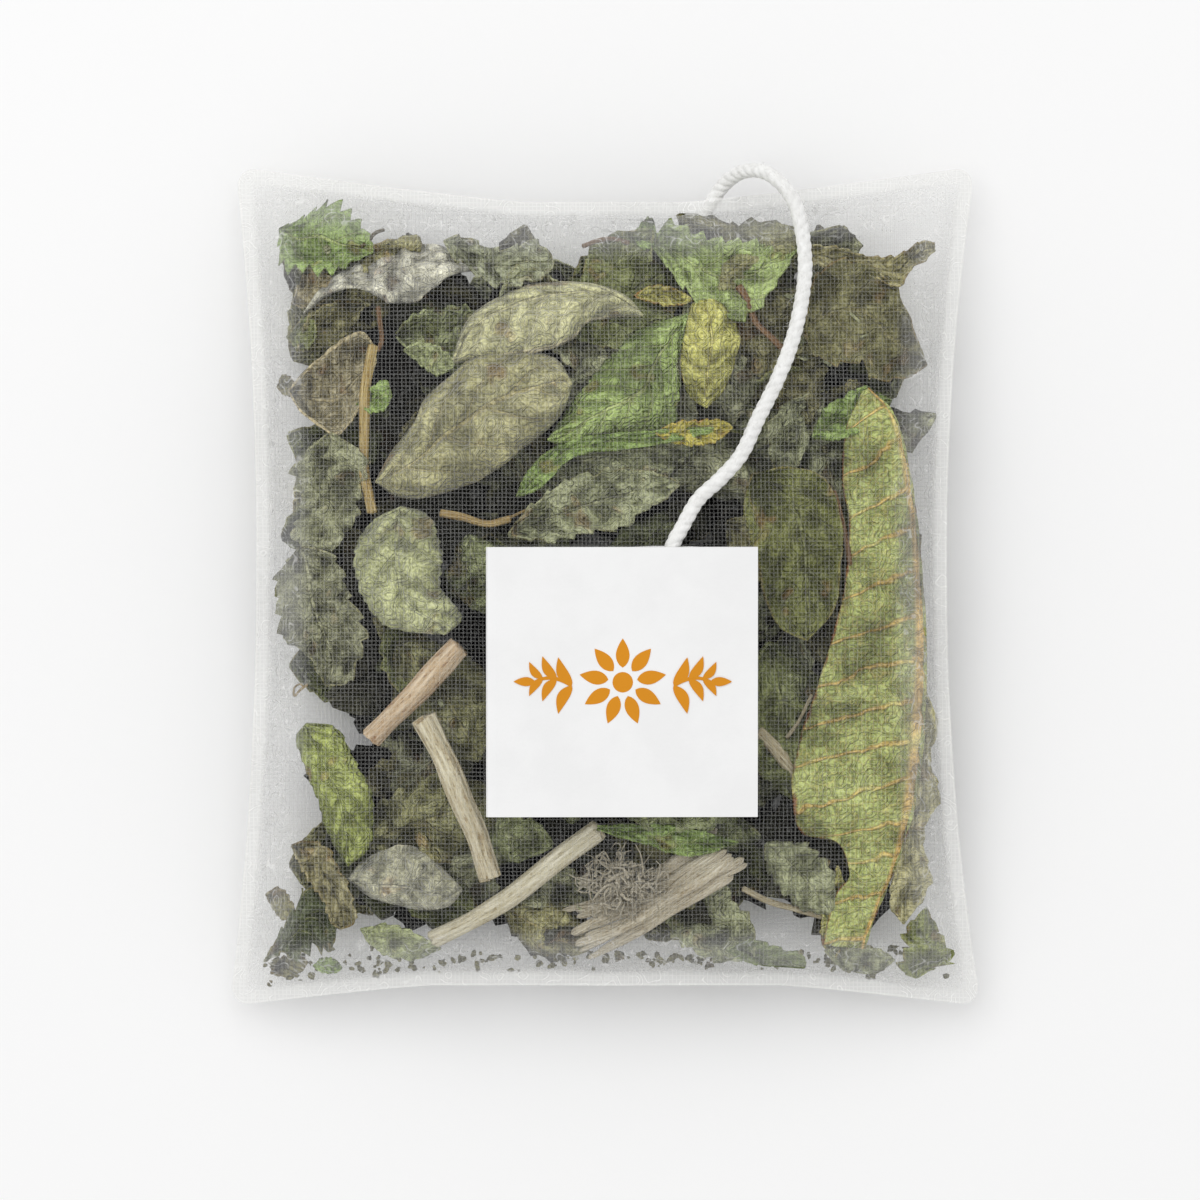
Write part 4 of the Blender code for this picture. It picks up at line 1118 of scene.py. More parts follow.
def under_front(depth):
    """A height that stays a depth under the front gauze, but not under the middle of the room."""
    def height(x, y):
        low, high = inside(x, y)[:2]
        return np.maximum(high - depth, (low + high) / 2)
    return height


class Sizes:
    """The sizes in millimetres that the settings hold by default."""
    pitch = 0.37
    string = 1.4
    leaf = 0.2
    sprig = 20.0


class TeaBagGauze(bpy.types.PropertyGroup):
    pitch: bpy.props.FloatProperty(name="Thread pitch", description="Distance from one thread to the next",
                                   default=Sizes.pitch * MM, unit="LENGTH", precision=5)
    cover: bpy.props.FloatProperty(name="Thread cover", default=0.096, subtype="FACTOR", min=0.0, max=1.0,
                                   description="How much a thread hides of what is behind")
    colour: bpy.props.FloatVectorProperty(name="Thread colour", description="Colour of the gauze's threads",
                                          default=tone(245, 245, 243), subtype="COLOR")


class TeaBagString(bpy.types.PropertyGroup):
    diameter: bpy.props.FloatProperty(name="Diameter", description="Diameter of the twisted string",
                                      default=Sizes.string * MM, unit="LENGTH", precision=4)
    plies: bpy.props.IntProperty(name="Plies", description="Yarns that are twisted together", default=3)
    colour: bpy.props.FloatVectorProperty(name="Cotton colour", description="Colour of the cotton",
                                          default=tone(246, 246, 244), subtype="COLOR")


class TeaBagTag(bpy.types.PropertyGroup):
    card: bpy.props.FloatVectorProperty(name="Card colour", description="Colour of the bare card",
                                        default=tone(243, 243, 243), subtype="COLOR")
    ink: bpy.props.FloatVectorProperty(name="Ink colour", description="Colour of the printed sprig",
                                       default=tone(216, 140, 10), subtype="COLOR")
    sprig: bpy.props.FloatProperty(name="Sprig length", description="Length of the printed sprig",
                                   default=Sizes.sprig * MM, unit="LENGTH", precision=4)


class TeaBagFilling(bpy.types.PropertyGroup):
    leaf: bpy.props.FloatProperty(name="Leaf thickness", description="Thickness of a dried leaf",
                                  default=Sizes.leaf * MM, unit="LENGTH", precision=5)
    litter: bpy.props.IntProperty(name="Broken leaves", description="Torn pieces deep in the bag",
                                  default=300)
    crumpled: bpy.props.IntProperty(name="Crumpled leaves", description="Small curled leaves in the bag",
                                    default=130)
    crumbs: bpy.props.IntProperty(name="Crumbs", description="Crumbs along the seams", default=190)


class TeaBagStage(bpy.types.PropertyGroup):
    key: bpy.props.FloatProperty(name="Key lamp", description="Power of the large lamp above", default=4.05,
                                 unit="POWER")
    fill: bpy.props.FloatProperty(name="Fill", description="Brightness of the studio round the bag",
                                  default=0.67)
    lens: bpy.props.FloatProperty(name="Lens", description="Focal length of the camera in millimetres",
                                  default=300.0)


class TEABAG_OT_gauze(bpy.types.Operator):
    """Make the two sheets of gauze, with their weave, creases and sealed margin"""
    bl_idname = "teabag.gauze"
    bl_label = "Gauze"

    def execute(self, context):
        settings = context.scene.teabag_gauze
        values = {"Thread": 0.17, "Cover": settings.cover, "Haze": 0.002, "Seal": 0.22}
        material = finish_from("gauze_weave", open_weave(), values)
        shader = material.node_tree.nodes["Principled BSDF"].inputs
        shader["Base Color"].default_value = (*settings.colour, 1.0)
        shader["Roughness"].default_value = 0.7
        u, v = np.meshgrid(np.linspace(-1, 1, GAUZE_COLUMNS), np.linspace(-1, 1, GAUZE_ROWS))
        ru, rv = self.rounded(u, v)
        x, y = plan(ru, rv)
        parted = section(ru, BAG_WIDTH) * section(rv, BAG_HEIGHT)
        out = np.clip(np.maximum(np.abs(ru), np.abs(rv)), 0, 1)
        pucker = noise(x * 0.9, y * 0.25, 4) * np.abs(rv) ** 8 + noise(x * 0.25, y * 0.9, 5) * np.abs(ru) ** 8
        free = np.clip(parted, 0, 1) * (1 - np.clip(parted, 0, 1)) * 4
        lumps = self.lumps(x, y) * parted
        wrinkles = WRINKLE_HEIGHT * creases(x / 2.2, y / 2.2, 12) * np.clip(out * 3 - 1.6, 0, 1)
        for name, height, up_side in (("front_gauze", front_inside, 1), ("back_gauze", back_inside, -1)):
            z = height(ru, rv) + up_side * (GAUZE / 2 - TOUCH * (1 - np.clip(parted * 4, 0, 1)) * 0.9)
            z = z + up_side * (PUCKER_HEIGHT * pucker * free + SEAL_PUCKER * pucker * out**12 * (1 - free))
            z = z + up_side * wrinkles * np.clip(parted * 3, 0, 1)
            if up_side > 0:
                z = z + lumps
            z = np.maximum(z, LOWEST)
            points = np.stack([x, y, z], -1)
            piece = grid(points, (u + 1) / 2, (v + 1) / 2)
            if up_side < 0:
                edit_all(piece)
                bpy.ops.mesh.flip_normals()
                bpy.ops.object.mode_set(mode="OBJECT")
            threads = settings.pitch / MM
            put_uv(piece, "weave", x / threads + 0.02 * y, y / threads)
            put_uv(piece, "edge", u, v)
            packed = "gauze_front" if up_side > 0 else "gauze_back"
            finish_piece(piece, name, material, "gauze", (packed,))
        return {"FINISHED"}

    def rounded(self, u, v):
        """The shares of the sheet's corners, drawn in where the bag's own corners are rounded."""
        near = np.clip((np.abs(u) - 1 + CORNER_ROUNDING) / CORNER_ROUNDING, 0, 1)
        up = np.clip((np.abs(v) - 1 + CORNER_ROUNDING) / CORNER_ROUNDING, 0, 1)
        shrink = np.maximum(near, up) / np.maximum(np.hypot(near, up), 1e-9)
        both = (near > 0) & (up > 0)
        ru = np.where(both, np.sign(u) * (1 - CORNER_ROUNDING * (1 - near * shrink)), u)
        rv = np.where(both, np.sign(v) * (1 - CORNER_ROUNDING * (1 - up * shrink)), v)
        return ru, rv

    def lumps(self, x, y):
        """How far the filling pushes the front sheet out, but for under the tag and the string."""
        tag_reach = np.maximum(np.abs(x - TAG_MIDDLE[0]) - TAG_HALF, np.abs(y - TAG_MIDDLE[1]) - TAG_HALF)
        route = np.array(STRING_ROUTE)[:, :2]
        cord_reach = np.hypot(x[..., None] - route[:, 0], y[..., None] - route[:, 1])
        cord_reach = np.min(cord_reach, axis=-1) - STRING_CLEARANCE
        clear = np.clip(np.minimum(tag_reach, cord_reach) / 3, 0, 1)
        uneven = noise(x / 5, y / 5, 8) + 0.5 * noise(x / 2.4, y / 2.4, 9)
        return np.clip(uneven, 0, 1) * LUMP_HEIGHT * clear


class TEABAG_OT_leaves(bpy.types.Operator):
    """Make the large leaves that show through the front gauze"""
    bl_idname = "teabag.leaves"
    bl_label = "Leaves"

    def execute(self, context):
        thickness = context.scene.teabag_filling.leaf / MM
        for number, (node, look) in enumerate(LEAF_LOOKS.items()):
            tone_name, rib, pairs, slant, veins, crumple, size, quilt, roll, teeth, tooth, ragged, more = look
            if node in TRACED:
                left, right = map(from_photo, TRACED[node])
            else:
                left, right = spun_edges(*SPUN[node])
            large = node == "long_leaf"
            points, across, along, *shade = leaf_points(
                left, right, lie_of(node), number * 1.7, rib, pairs, slant, crumple, size, quilt, roll, teeth,
                tooth, ragged, 170 if large else 58, 64 if large else 28)
            piece = grid(points, across, along, thickness, shade=shade)
            finish_leaf(piece, node + "_blade", node + "_finish", tone_name, pairs, slant, veins, node=node,
                        **more)
        return {"FINISHED"}


class TEABAG_OT_scraps(bpy.types.Operator):
    """Make the leaf pieces and thin stalks that lie between the large leaves"""
    bl_idname = "teabag.scraps"
    bl_label = "Scraps and stalks"

    def execute(self, context):
        thickness = context.scene.teabag_filling.leaf / MM
        for number, (name, (tone_name, depth, left, right)) in enumerate(SCRAPS.items()):
            points, across, along, *shade = leaf_points(
                from_photo(left), from_photo(right), under_front(depth), 60 + number * 1.3, pairs=5,
                crumple=0.35, size=2.2, roll=0.3, teeth=6, tooth=0.1, ragged=0.12, rows=36, columns=18)
            piece = grid(points, across, along, thickness, shade=shade)
            finish_leaf(piece, name, tone_name + "_scrap_finish", tone_name, 5)
        for number, (name, (route, depth, width, tone_name)) in enumerate(STALKS.items()):
            flat = smooth(from_photo(route), 60)
            z = inside(flat[:, 0], flat[:, 1])[1] - depth - width / 2
            piece = stick(np.column_stack([flat, z]), width, 0.9, 90 + number, 0.12, 14)
            finish_piece(piece, name, stem_finish(tone_name + "_stalk_finish", *STALK_TONES[tone_name]),
                         "ochre_stem")
        return {"FINISHED"}


def stick(route, width, flat, seed, ridges, sides=30, taper=0.9, splinter=0.0, blunt=0.02):
    """A stem with ridges along it, knots and broken ends, round a route in millimetres."""
    def reach(angle, share):
        around = noise(np.cos(angle) * 2.6 + share * 0.6, np.sin(angle) * 2.6 + share * 1.1, seed)
        fine = noise(np.cos(angle) * 6 + share * 2, np.sin(angle) * 6 + share * 3, seed + 2)
        swell = 0.08 * noise(share * 5, seed, seed)
        radius = width / 2 * blend(1.0, taper, share) * (1 + ridges * around + 0.6 * ridges * fine + swell)
        return radius * rounded_ends(share, blunt)

    points, across, along = rings(route, sides, reach, flat)
    if splinter:
        ahead = unit(route[-1] - route[0])
        share = np.linspace(0, 1, len(route))[:, None]
        angle = across * 2 * np.pi
        split = noise(np.cos(angle) * 3, np.sin(angle) * 3, seed + 4) * splinter
        ends = np.clip(share - 0.9, 0, 1) * 10 - np.clip(0.1 - share, 0, 1) * 10
        points = points + ahead * (split * ends)[..., None]
    return grid(points, across, along, welded=True)


def node_route(node, count):
    """The middle line of a packed stem, base to tip, as evenly spaced points."""
    corners = packed_points(node)
    centre = corners.mean(axis=0)
    direction = np.linalg.svd(corners - centre)[2][0]
    direction = direction if direction[1] <= 0 else -direction
    share = (corners - centre) @ direction
    cuts = np.linspace(share.min(), share.max(), 6)
    stops = [corners[np.abs(share - cut) <= (cuts[1] - cuts[0]) * 0.75].mean(axis=0) for cut in cuts]
    for end in (0, -1):
        off = stops[end] - centre
        stops[end] = centre + direction * cuts[end] + off - direction * (off @ direction)
    return smooth(stops, count)


class TEABAG_OT_stems(bpy.types.Operator):
    """Make the stems and the frayed strip of bark"""
    bl_idname = "teabag.stems"
    bl_label = "Stems and bark"

    def execute(self, context):
        stems = (
            ("short_stem", 2.25, 0.06, 0.12, ((206, 180, 144), (230, 210, 180), (136, 98, 72)), "pale_stem"),
            ("long_stem", 2.2, 0.09, 0.35, ((206, 194, 160), (234, 226, 198), (144, 122, 88)), "pale_stem"),
            ("slant_stem", 1.95, 0.08, 0.3, ((214, 206, 176), (238, 232, 208), (156, 140, 104)), "pale_stem"),
            ("yellow_stem", 0.95, 0.2, 0.1, ((186, 160, 98), (216, 196, 138), (124, 92, 52)), "ochre_stem"),
        )
        for number, (node, width, ridges, splinter, tones, slot) in enumerate(stems):
            route = node_route(node, STEM_POINTS)
            share = np.linspace(0, 1, STEM_POINTS)
            route[:, 0] += 0.18 * noise(share * 4, 0, number)
            piece = stick(route, width, 0.95, 20 + number, ridges, 40, 0.88, splinter, 0.012)
            finish_piece(piece, node + "_wood", stem_finish(node + "_finish", *tones), slot, (node,))
        self.bark()
        return {"FINISHED"}

    def bark(self):
        """Flat fibrous strands side by side, parting at their ends."""
        route = node_route("bark_strip", BARK_POINTS)
        side = np.cross(unit(route[-1] - route[0]), (0, 0, 1))
        chance = np.random.default_rng(5)
        blocks = []
        for i in range(STRANDS):
            offset = (i - STRANDS // 2) / (STRANDS // 2)
            start, stop = chance.uniform(0, 0.12), chance.uniform(0.86, 1.0)
            last = BARK_POINTS - 1
            part = smooth(route[int(start * last): int(stop * last) + 1], 60)
            t = np.linspace(0, 1, 60)[:, None]
            spread = 1.9 + 0.9 * np.abs(t - 0.45) ** 1.5 * 2
            part = part + side * offset * spread + side * 0.25 * noise(t * 4, i, 7)
            part[:, 2] += 0.55 * (1 - offset**2) + chance.uniform(-0.2, 0.2) + 0.15 * noise(t[:, 0] * 5, i, 9)
            part[:, 2] = np.minimum(part[:, 2], inside(part[:, 0], part[:, 1])[1] - 0.5)
            width = chance.uniform(0.7, 1.5)

            def reach(angle, share, width=width, i=i):
                ridged = noise(np.cos(angle) * 3 + share, np.sin(angle) * 3, i + 30)
                return width / 2 * (1 + 0.2 * ridged) * rounded_ends(share, 0.12) * (1 - 0.4 * share)

            blocks.append(rings(part, 12, reach, 0.6))
        tones = ((214, 203, 174), (240, 232, 210), (150, 130, 98))
        piece = loose_grids(blocks)
        weld(piece)
        finish_piece(piece, "bark_strands", stem_finish("bark_finish", *tones, 3.0, 0.8), "pale_stem",
                     ("bark_strip",))
        self.tangle(chance)

    def tangle(self, chance):
        """Loose fibres beside the bark, curled about each other."""
        blocks = []
        centre = from_photo(TANGLE_MIDDLE)[0]
        for i in range(TANGLE):
            angle, radius = chance.uniform(0, 2 * math.pi), chance.uniform(0, 3.0)
            start = centre + radius * np.array((math.cos(angle) * 1.1, math.sin(angle) * 0.75))
            steps = chance.normal(0, 0.55, (5, 2)).cumsum(axis=0)
            flat = smooth(start + steps, 10)
            depth = 0.5 + chance.uniform(0, 1.8)
            z = inside(flat[:, 0], flat[:, 1])[1] - depth + 0.3 * noise(flat[:, 0], flat[:, 1], i)
            thin = chance.uniform(0.07, 0.16)
            line = np.column_stack([flat, z])
            blocks.append(rings(line, 4, lambda a, s, thin=thin: thin * (1 - 0.6 * s) + 0 * a))
        piece = loose_grids(blocks)
        tones = ((238, 226, 196), (248, 242, 222), (206, 188, 152))
        finish_piece(piece, "bark_tangle", stem_finish("tangle_finish", *tones), "pale_stem")


class TEABAG_OT_litter(bpy.types.Operator):
    """Make the broken leaves in the depth of the bag, the leaves on the back gauze, and the crumbs"""
    bl_idname = "teabag.litter"
    bl_label = "Broken leaves and crumbs"

    def execute(self, context):
        settings = context.scene.teabag_filling
        thickness = settings.leaf / MM
        self.back_leaves(thickness)
        chance = np.random.default_rng(21)
        # The deep litter takes darker copies of the umber and dark olive tones, as painted shade for lying
        # deep in the bag
        for tone_name in ("umber", "dark_olive"):
            blocks = []
            for _ in range(settings.litter // 2):
                x, y = plan(chance.uniform(-0.74, 0.74), chance.uniform(-0.78, 0.77))
                blocks.append(self.bit((x, y), chance.uniform(1.4, 3.4), chance, 0.15, 0.48, 0.5))
            piece = loose_grids(blocks, thickness * 0.8)
            finish_leaf(piece, "deep_" + tone_name, tone_name + "_deep_finish", tone_name, 3, light=0.45)
        kinds = ("grey_green", "silver_green", "dark_moss", "khaki", "moss", "umber")
        for kind, tone_name in enumerate(kinds):
            blocks = [self.crumpled(chance, 300 + 40 * kind + i)
                      for i in range(int(settings.crumpled * (0.22 if kind < 2 else 0.14)))]
            piece = loose_grids(blocks, thickness)
            finish_leaf(piece, "crumpled_" + tone_name, tone_name + "_crumpled_finish", tone_name, 6, 0.2)
        blocks = []
        for _ in range(settings.crumbs):
            u, v = self.crumb_place(chance)
            x, y = plan(u, v)
            crumb = self.bit((x, y), chance.uniform(0.1, 0.36), chance, 0.2, 0.6, 0.3, 3)
            # Crumbs get no painted depth shade
            blocks.append((*crumb[:4], np.ones_like(crumb[4])))
        piece = loose_grids(blocks, 0.12)
        finish_leaf(piece, "crumbs", "crumb_finish", "umber", 2)
        return {"FINISHED"}

    def crumb_place(self, chance):
        """Crumbs gather along the lower seam, at its corners and up the right side."""
        kind = chance.random()
        if kind < 0.68:
            return chance.uniform(-0.62, 0.72), chance.normal(-0.935, 0.012)
        if kind < 0.86:
            return chance.uniform(-0.93, -0.6), chance.normal(-0.93, 0.02)
        return chance.uniform(0.6, 0.93), chance.normal(-0.9, 0.03)

    def crumpled(self, chance, seed):
        """One curled and crumpled leaf somewhere in the upper half of the filling."""
        u, v = chance.uniform(-0.8, 0.8), chance.uniform(-0.86, 0.84)
        x, y = plan(u, v)
        turn = chance.uniform(0, 360)
        length, half = chance.uniform(5.5, 12.0), chance.uniform(1.8, 3.6)
        left, right = spun_edges((2 * x / BAG_WIDTH, 2 * y / BAG_HEIGHT), turn, length, (half, half * 0.9),
                                 chance.uniform(-1.6, 1.6))
        height = curled((x, y), chance.uniform(0.46, 0.74), chance.uniform(-0.35, 0.35, 2),
                        chance.uniform(-0.22, 0.22), math.radians(turn))
        return leaf_points(left, right, height, seed, 0.5, 6, 0.2, 0.75, 2.2, 0.12, chance.uniform(-1.2, 1.2),
                           int(chance.integers(5, 12)), 0.12, 0.16, 20, 13)

    def bit(self, centre, size, chance, low_share, high_share, tilt, cells=6):
        """A torn and curled piece of leaf, tilted in the depth of the bag."""
        seed = chance.uniform(0, 90)
        s = np.linspace(-1, 1, cells)
        a, b = np.meshgrid(s, s)
        angle = np.arctan2(b, a)
        square = np.maximum(np.abs(a), np.abs(b))
        torn = 0.4 * noise(np.cos(angle) * 1.6, np.sin(angle) * 1.6, seed)
        torn = torn + 0.22 * noise(np.cos(angle) * 4, np.sin(angle) * 4, seed + 1)
        radius = square * (0.95 + torn * square**2)
        turn = chance.uniform(0, 2 * math.pi)
        along = np.cos(angle) * radius * size * chance.uniform(1.0, 1.7)
        across = np.sin(angle) * radius * size
        x = centre[0] + along * math.cos(turn) - across * math.sin(turn)
        y = centre[1] + along * math.sin(turn) + across * math.cos(turn)
        lean = chance.uniform(-tilt, tilt, 2)
        rise = lean[0] * along + lean[1] * across + chance.uniform(-0.3, 0.45) * across**2 / size
        rise = rise + 0.3 * size**0.5 * noise(along / 1.2, across / 1.2, seed)
        low, high = inside(x, y)
        share = chance.uniform(low_share, high_share)
        middle_low, middle_high = inside(*centre)
        roof = high - 0.12 * (high - low) - 0.1
        z = np.clip(blend(middle_low, middle_high, share) + rise, low + 0.15, roof)
        # Values for the painted shade of the finish: patchy at random, and darker the deeper the piece lies
        # in the bag
        folds = 0.6 + 0.4 * noise(along / 0.9, across / 0.9, seed + 3)
        depth = np.clip((z - low) / np.maximum(high - low, 0.5), 0, 1)
        return np.stack([x, y, z], -1), (b + 1) / 2, (a + 1) / 2, folds, depth

    def back_leaves(self, thickness):
        """The leaves against the back sheet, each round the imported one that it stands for."""
        tones = ("dark_olive", "moss", "khaki", "grey_green", "dark_moss", "olive")
        for i in range(16):
            node = f"back_leaf_{i + 1:02d}"
            corners = packed_points(node)
            flat = corners[:, :2]
            centre = flat.mean(axis=0)
            ahead = np.linalg.svd(flat - centre)[2][0]
            left = leftward(ahead)
            reach = np.abs((flat - centre) @ ahead).max()
            half = np.abs((flat - centre) @ left).max()
            t = np.linspace(0, 1, 24)[:, None]
            line = centre + ahead * reach * (2 * t - 1)
            width = np.maximum(0.04, np.sin(np.pi * t) ** 0.7) * half
            points, across, along, *shade = leaf_points(
                line + left * width, line - left * width, lie_of(node), 130 + i, slant=0.22, crumple=0.45,
                size=3.2, quilt=0.12, roll=0.3, teeth=11, tooth=0.06, ragged=0.06, rows=40, columns=20)
            # The back leaves are kept bright, out of the painted depth shade
            shade[1] = np.maximum(shade[1], 0.9)
            piece = grid(points, across, along, thickness, shade=shade)
            tone_name = tones[(i // 4 * 4 + i % 4 * 3) % len(tones)]
            finish_leaf(piece, node + "_blade", tone_name + "_back_finish", tone_name, 6, 0.22, node=node)


class TEABAG_OT_string(bpy.types.Operator):
    """Make the twisted cotton string, from the top seam to the tag"""
    bl_idname = "teabag.string"
    bl_label = "String"

    def execute(self, context):
        settings = context.scene.teabag_string
        radius = settings.diameter / MM / 2
        route = smooth(STRING_ROUTE, STRING_RINGS)
        length = np.linalg.norm(np.diff(route, axis=0), axis=1).sum()

        def reach(angle, share):
            turned = settings.plies * (angle / 2 + np.pi * share * length / STRING_LAY)
            ply = np.abs(np.sin(turned))
            fibres = noise(np.cos(angle) * 5 + share * 90, np.sin(angle) * 5, 3)
            swell = 0.02 * noise(share * 22, 0, 6)
            return radius * (0.84 + 0.17 * ply**0.7 + 0.025 * fibres + swell) * rounded_ends(share, 0.004)

        points, across, along = rings(route, STRING_SIDES, reach)
        piece = grid(points, across, along, welded=True)
        values = {"Main": tuple(settings.colour), "Streak": (0.95, 0.95, 0.94), "Pore": (0.62, 0.61, 0.58),
                  "Across": 5.0, "Along": 4.0, "Streaks": 0.5, "Pores": 0.35}
        material = finish_from("cotton_finish", fibre_grain(), values, 0.08, 0.7, sheen=0.3)
        finish_piece(piece, "twisted_string", material, "cotton", ("string",))
        hairs = self.hairs(route, radius, material)
        (smooth(STRING_ROUTE, 64) * MM).tolist()
        return {"FINISHED"}

    def hairs(self, route, radius, material):
        """Loose cotton fibres that stand off the string."""
        chance = np.random.default_rng(8)
        blocks = []
        for _ in range(HAIRS):
            i = int(chance.uniform(30, len(route) - 190))
            angle = chance.uniform(0, math.pi)
            outward = np.array((math.cos(angle) * 0.9, math.sin(angle) * 0.5, math.sin(angle)))
            ahead = unit(route[i + 8] - route[i])
            start = route[i] + outward * radius * 0.9
            stop = start + outward * chance.uniform(0.2, 0.9) + ahead * chance.uniform(-1.4, 1.4)
            bend = chance.normal(0, 0.18, 3)
            line = smooth([start, (start + stop) / 2 + bend, stop], 8)
            line[:, 2] = np.maximum(line[:, 2], route[i, 2] - radius * 0.4)
            blocks.append(rings(line, 3, lambda a, s: 0.014 * (1 - 0.5 * s) + 0 * a))
        piece = loose_grids(blocks)
        return finish_piece(piece, "string_hairs", material, "cotton")


class TEABAG_OT_tag(bpy.types.Operator):
    """Give the folded tag its card finish and print the sprig on it"""
    bl_idname = "teabag.tag"
    bl_label = "Tag"

    def execute(self, context):
        settings = context.scene.teabag_tag
        card = self.paper("card_finish", tuple(settings.card))
        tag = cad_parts["tag"]
        for i in range(len(tag.data.materials)):
            tag.data.materials[i] = card
        self.print_sprig(settings)
        return {"FINISHED"}

    def paper(self, name, colour):
        """Smooth uncoated card, bare or printed in one colour."""
        values = {"Main": colour, "Cloud": tuple(channel * 0.965 for channel in colour)}
        material = finish_from(name, card_tooth(), values, 0.05, 0.35, specular=0.3)
        material.node_tree.nodes["Principled BSDF"].inputs["Roughness"].default_value = 0.62
        return material

    def print_sprig(self, settings):
        """A plain round flower between two leafy sprigs, in one ink."""
        corner, side, up = np.array(TAG_CORNER), np.array(TAG_ACROSS), np.array(TAG_UP)
        facing = unit(np.cross(side, up))
        middle = corner + side * 0.5 + up * 0.5 + facing * PRINT_HEIGHT
        side, up = side / TAG_SIDE, up / TAG_SIDE
        half = settings.sprig / MM / 2
        outlines = [self.disc((0.0, 0.0), 0.95)]
        for i in range(9):
            turn = math.radians(40 * i + 90)
            root = 1.35 * np.array((math.cos(turn), math.sin(turn)))
            outlines.append(self.petal(root, turn, 2.7, 0.38, 0.0))
        t = np.linspace(0, 1, 24)
        for hand in (-1, 1):
            stalk = np.column_stack([hand * blend(4.7, half - 1.9, t), 0.7 * np.sin(2.6 * t) - 0.3])
            thick = 0.2 - 0.06 * t[:, None]
            band = np.concatenate([stalk - (0, 1) * thick, (stalk + (0, 1) * thick)[::-1]])
            outlines.append(band[::hand])
            for i, place in enumerate((0.0, 0.42, 0.8)):
                root = np.array([np.interp(place, t, stalk[:, k]) for k in (0, 1)])
                for rising in (1, -1):
                    turn = rising * math.radians(64 - 6 * i)
                    turn = turn if hand > 0 else math.pi - turn
                    outlines.append(self.petal(root, turn, 2.9 - 0.45 * i, 0.3, -0.1 * hand * rising))
            outlines.append(self.petal(stalk[-1], 0.0 if hand > 0 else math.pi, 2.0, 0.34, 0.0))
        clear_selection()
        parts = []
        for number, outline in enumerate(outlines):
            bpy.ops.mesh.primitive_circle_add(vertices=len(outline), radius=1, fill_type="NGON")
            part = bpy.context.object
            level = middle + facing * PRINT_STEP * number
            placed = level + outline[:, :1] * side + outline[:, 1:] * up
            part.data.vertices.foreach_set("co", (placed * MM).ravel())
            parts.append(part)
        clear_selection()
        for part in parts:
            part.select_set(True)
        bpy.context.view_layer.objects.active = parts[0]
        bpy.ops.object.join()
        piece = bpy.context.object
        thicken(piece, PRINT_THICKNESS, -1.0)
        finish_piece(piece, "printed_sprig", self.paper("ink_finish", tuple(settings.ink)), "card")

    def disc(self, centre, radius):
        """A round dot, as an outline that goes round once."""
        around = np.linspace(0, 2 * math.pi, 28, endpoint=False)
        return np.array(centre) + radius * np.column_stack([np.cos(around), np.sin(around)])

    def petal(self, root, turn, length, fatness, bow):
        """A pointed leaf from its root, as an outline that goes round once."""
        t = np.linspace(0, 1, 14)[:, None]
        half = 0.62 * fatness * length * np.sin(np.pi * t**0.8) ** 0.9
        ahead = np.array((math.cos(turn), math.sin(turn)))
        left = leftward(ahead)
        line = root + ahead * length * t + left * bow * length * np.sin(np.pi * t)
        upper = line + left * half
        lower = line - left * half
        return np.concatenate([lower, upper[1:-1][::-1]])


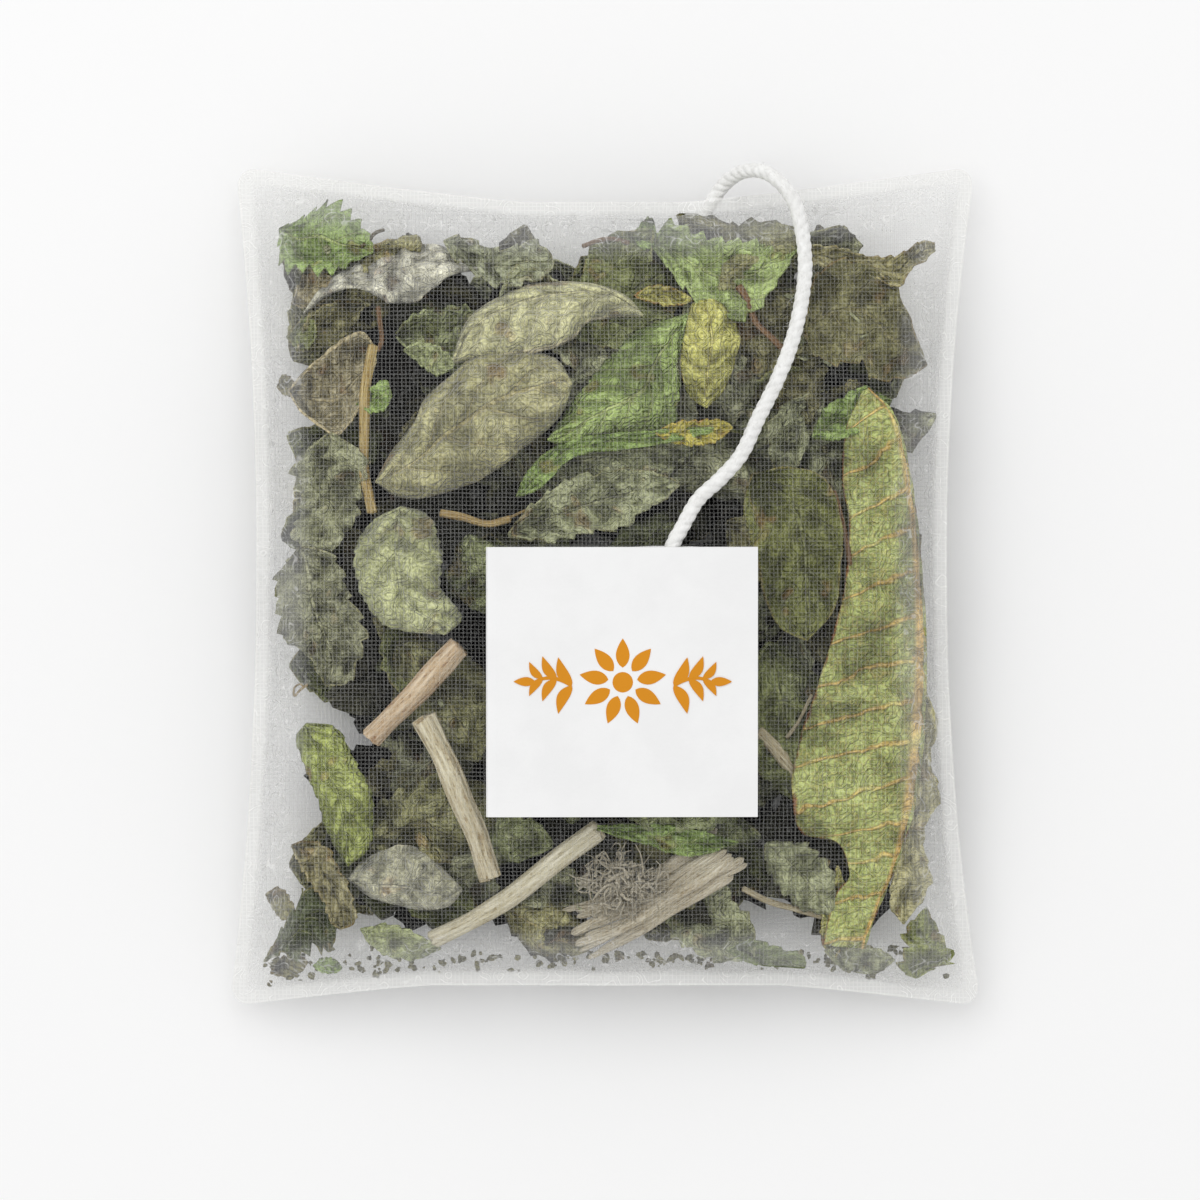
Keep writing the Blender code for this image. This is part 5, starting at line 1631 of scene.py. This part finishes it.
class TEABAG_OT_stage(bpy.types.Operator):
    """Set up the pale floor, the soft studio light and the camera straight above"""
    bl_idname = "teabag.stage"
    bl_label = "Stage"

    def execute(self, context):
        settings = context.scene.teabag_stage
        clear_selection()
        bpy.ops.mesh.primitive_plane_add(size=FLOOR_SIDE, location=(0, 0, 0))
        floor = bpy.context.object
        floor.name = "floor"
        material, nodes, shader = plain_finish("floor_finish")
        cloud = nodes.noise(nodes.place(), 3.0, 2.0)
        darker, lighter = (0.955, 0.955, 0.955, 1.0), (0.965, 0.965, 0.965, 1.0)
        nodes.feed(shader["Base Color"], nodes.mix(cloud, darker, lighter))
        shader["Roughness"].default_value = 1.0
        shader["Specular IOR Level"].default_value = 0.0
        floor.data.materials.append(material)
        self.lights(settings)
        self.camera(settings)
        return {"FINISHED"}

    def lights(self, settings):
        """A white studio, dimmer as a light than it looks, and one large lamp above the top."""
        world = bpy.data.worlds.new("studio")
        bpy.context.scene.world = world
        world.use_nodes = True
        tree = world.node_tree
        nodes = Tree(tree)
        background = tree.nodes["Background"]
        background.inputs["Color"].default_value = (1.0, 1.0, 1.0, 1.0)
        path = nodes.add("ShaderNodeLightPath").outputs
        seen = nodes.math("MAXIMUM", path["Is Camera Ray"],
                          nodes.math("MAXIMUM", path["Is Glossy Ray"], path["Is Transmission Ray"]))
        nodes.feed(background.inputs["Strength"],
                   nodes.times_plus(seen, 1.0 - settings.fill, settings.fill))
        clear_selection()
        bpy.ops.object.light_add(type="AREA", location=KEY_PLACE)
        key = bpy.context.object
        key.name = "key_lamp"
        key.data.energy = settings.key
        key.data.size = KEY_SIDE
        key.rotation_euler = key.location.to_track_quat("Z", "Y").to_euler()

    def camera(self, settings):
        """The photograph's view, straight down from far off."""
        clear_selection()
        distance = PHOTO_WIDTH * MM * settings.lens / SENSOR
        place = (VIEW_CENTRE[0] * MM, VIEW_CENTRE[1] * MM, distance + TAG_HEIGHT)
        bpy.ops.object.camera_add(location=place)
        camera = bpy.context.object
        camera.name = "photo_camera"
        camera.rotation_euler = (0.0, 0.0, 0.0)
        camera.data.lens = settings.lens
        camera.data.sensor_width = SENSOR
        camera.data.clip_start = 0.01
        camera.data.clip_end = 20.0
        bpy.context.scene.camera = camera


class TEABAG_PT_panel(bpy.types.Panel):
    """Lists the steps that make the tea bag"""
    bl_idname = "TEABAG_PT_panel"
    bl_label = "Tea Bag"
    bl_space_type = "VIEW_3D"
    bl_region_type = "UI"
    bl_category = "Tea Bag"

    def draw(self, context):
        for name in SETTINGS:
            group = getattr(context.scene, name)
            box = self.layout.box()
            for key in group.bl_rna.properties.keys():
                if key not in ("rna_type", "name"):
                    box.prop(group, key)
        for operator in OPERATORS:
            self.layout.operator(operator.bl_idname)


SETTINGS = {
    "teabag_gauze": TeaBagGauze,
    "teabag_string": TeaBagString,
    "teabag_tag": TeaBagTag,
    "teabag_filling": TeaBagFilling,
    "teabag_stage": TeaBagStage,
}
OPERATORS = (TEABAG_OT_stage, TEABAG_OT_string, TEABAG_OT_gauze, TEABAG_OT_leaves, TEABAG_OT_stems,
             TEABAG_OT_scraps, TEABAG_OT_litter, TEABAG_OT_tag)


def register():
    for group in SETTINGS.values():
        bpy.utils.register_class(group)
    for operator in (*OPERATORS, TEABAG_PT_panel):
        bpy.utils.register_class(operator)
    for name, group in SETTINGS.items():
        setattr(bpy.types.Scene, name, bpy.props.PointerProperty(type=group))


def unregister():
    for name in SETTINGS:
        delattr(bpy.types.Scene, name)
    for operator in (TEABAG_PT_panel, *reversed(OPERATORS)):
        bpy.utils.unregister_class(operator)
    for group in reversed(SETTINGS.values()):
        bpy.utils.unregister_class(group)


def main():
    register()
    bpy.context.scene.view_settings.view_transform = "Standard"
    bpy.ops.teabag.stage()
    bpy.ops.teabag.string()
    bpy.ops.teabag.gauze()
    bpy.ops.teabag.leaves()
    bpy.ops.teabag.stems()
    bpy.ops.teabag.scraps()
    bpy.ops.teabag.litter()
    bpy.ops.teabag.tag()
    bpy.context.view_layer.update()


if __name__ == "__main__":
    main()
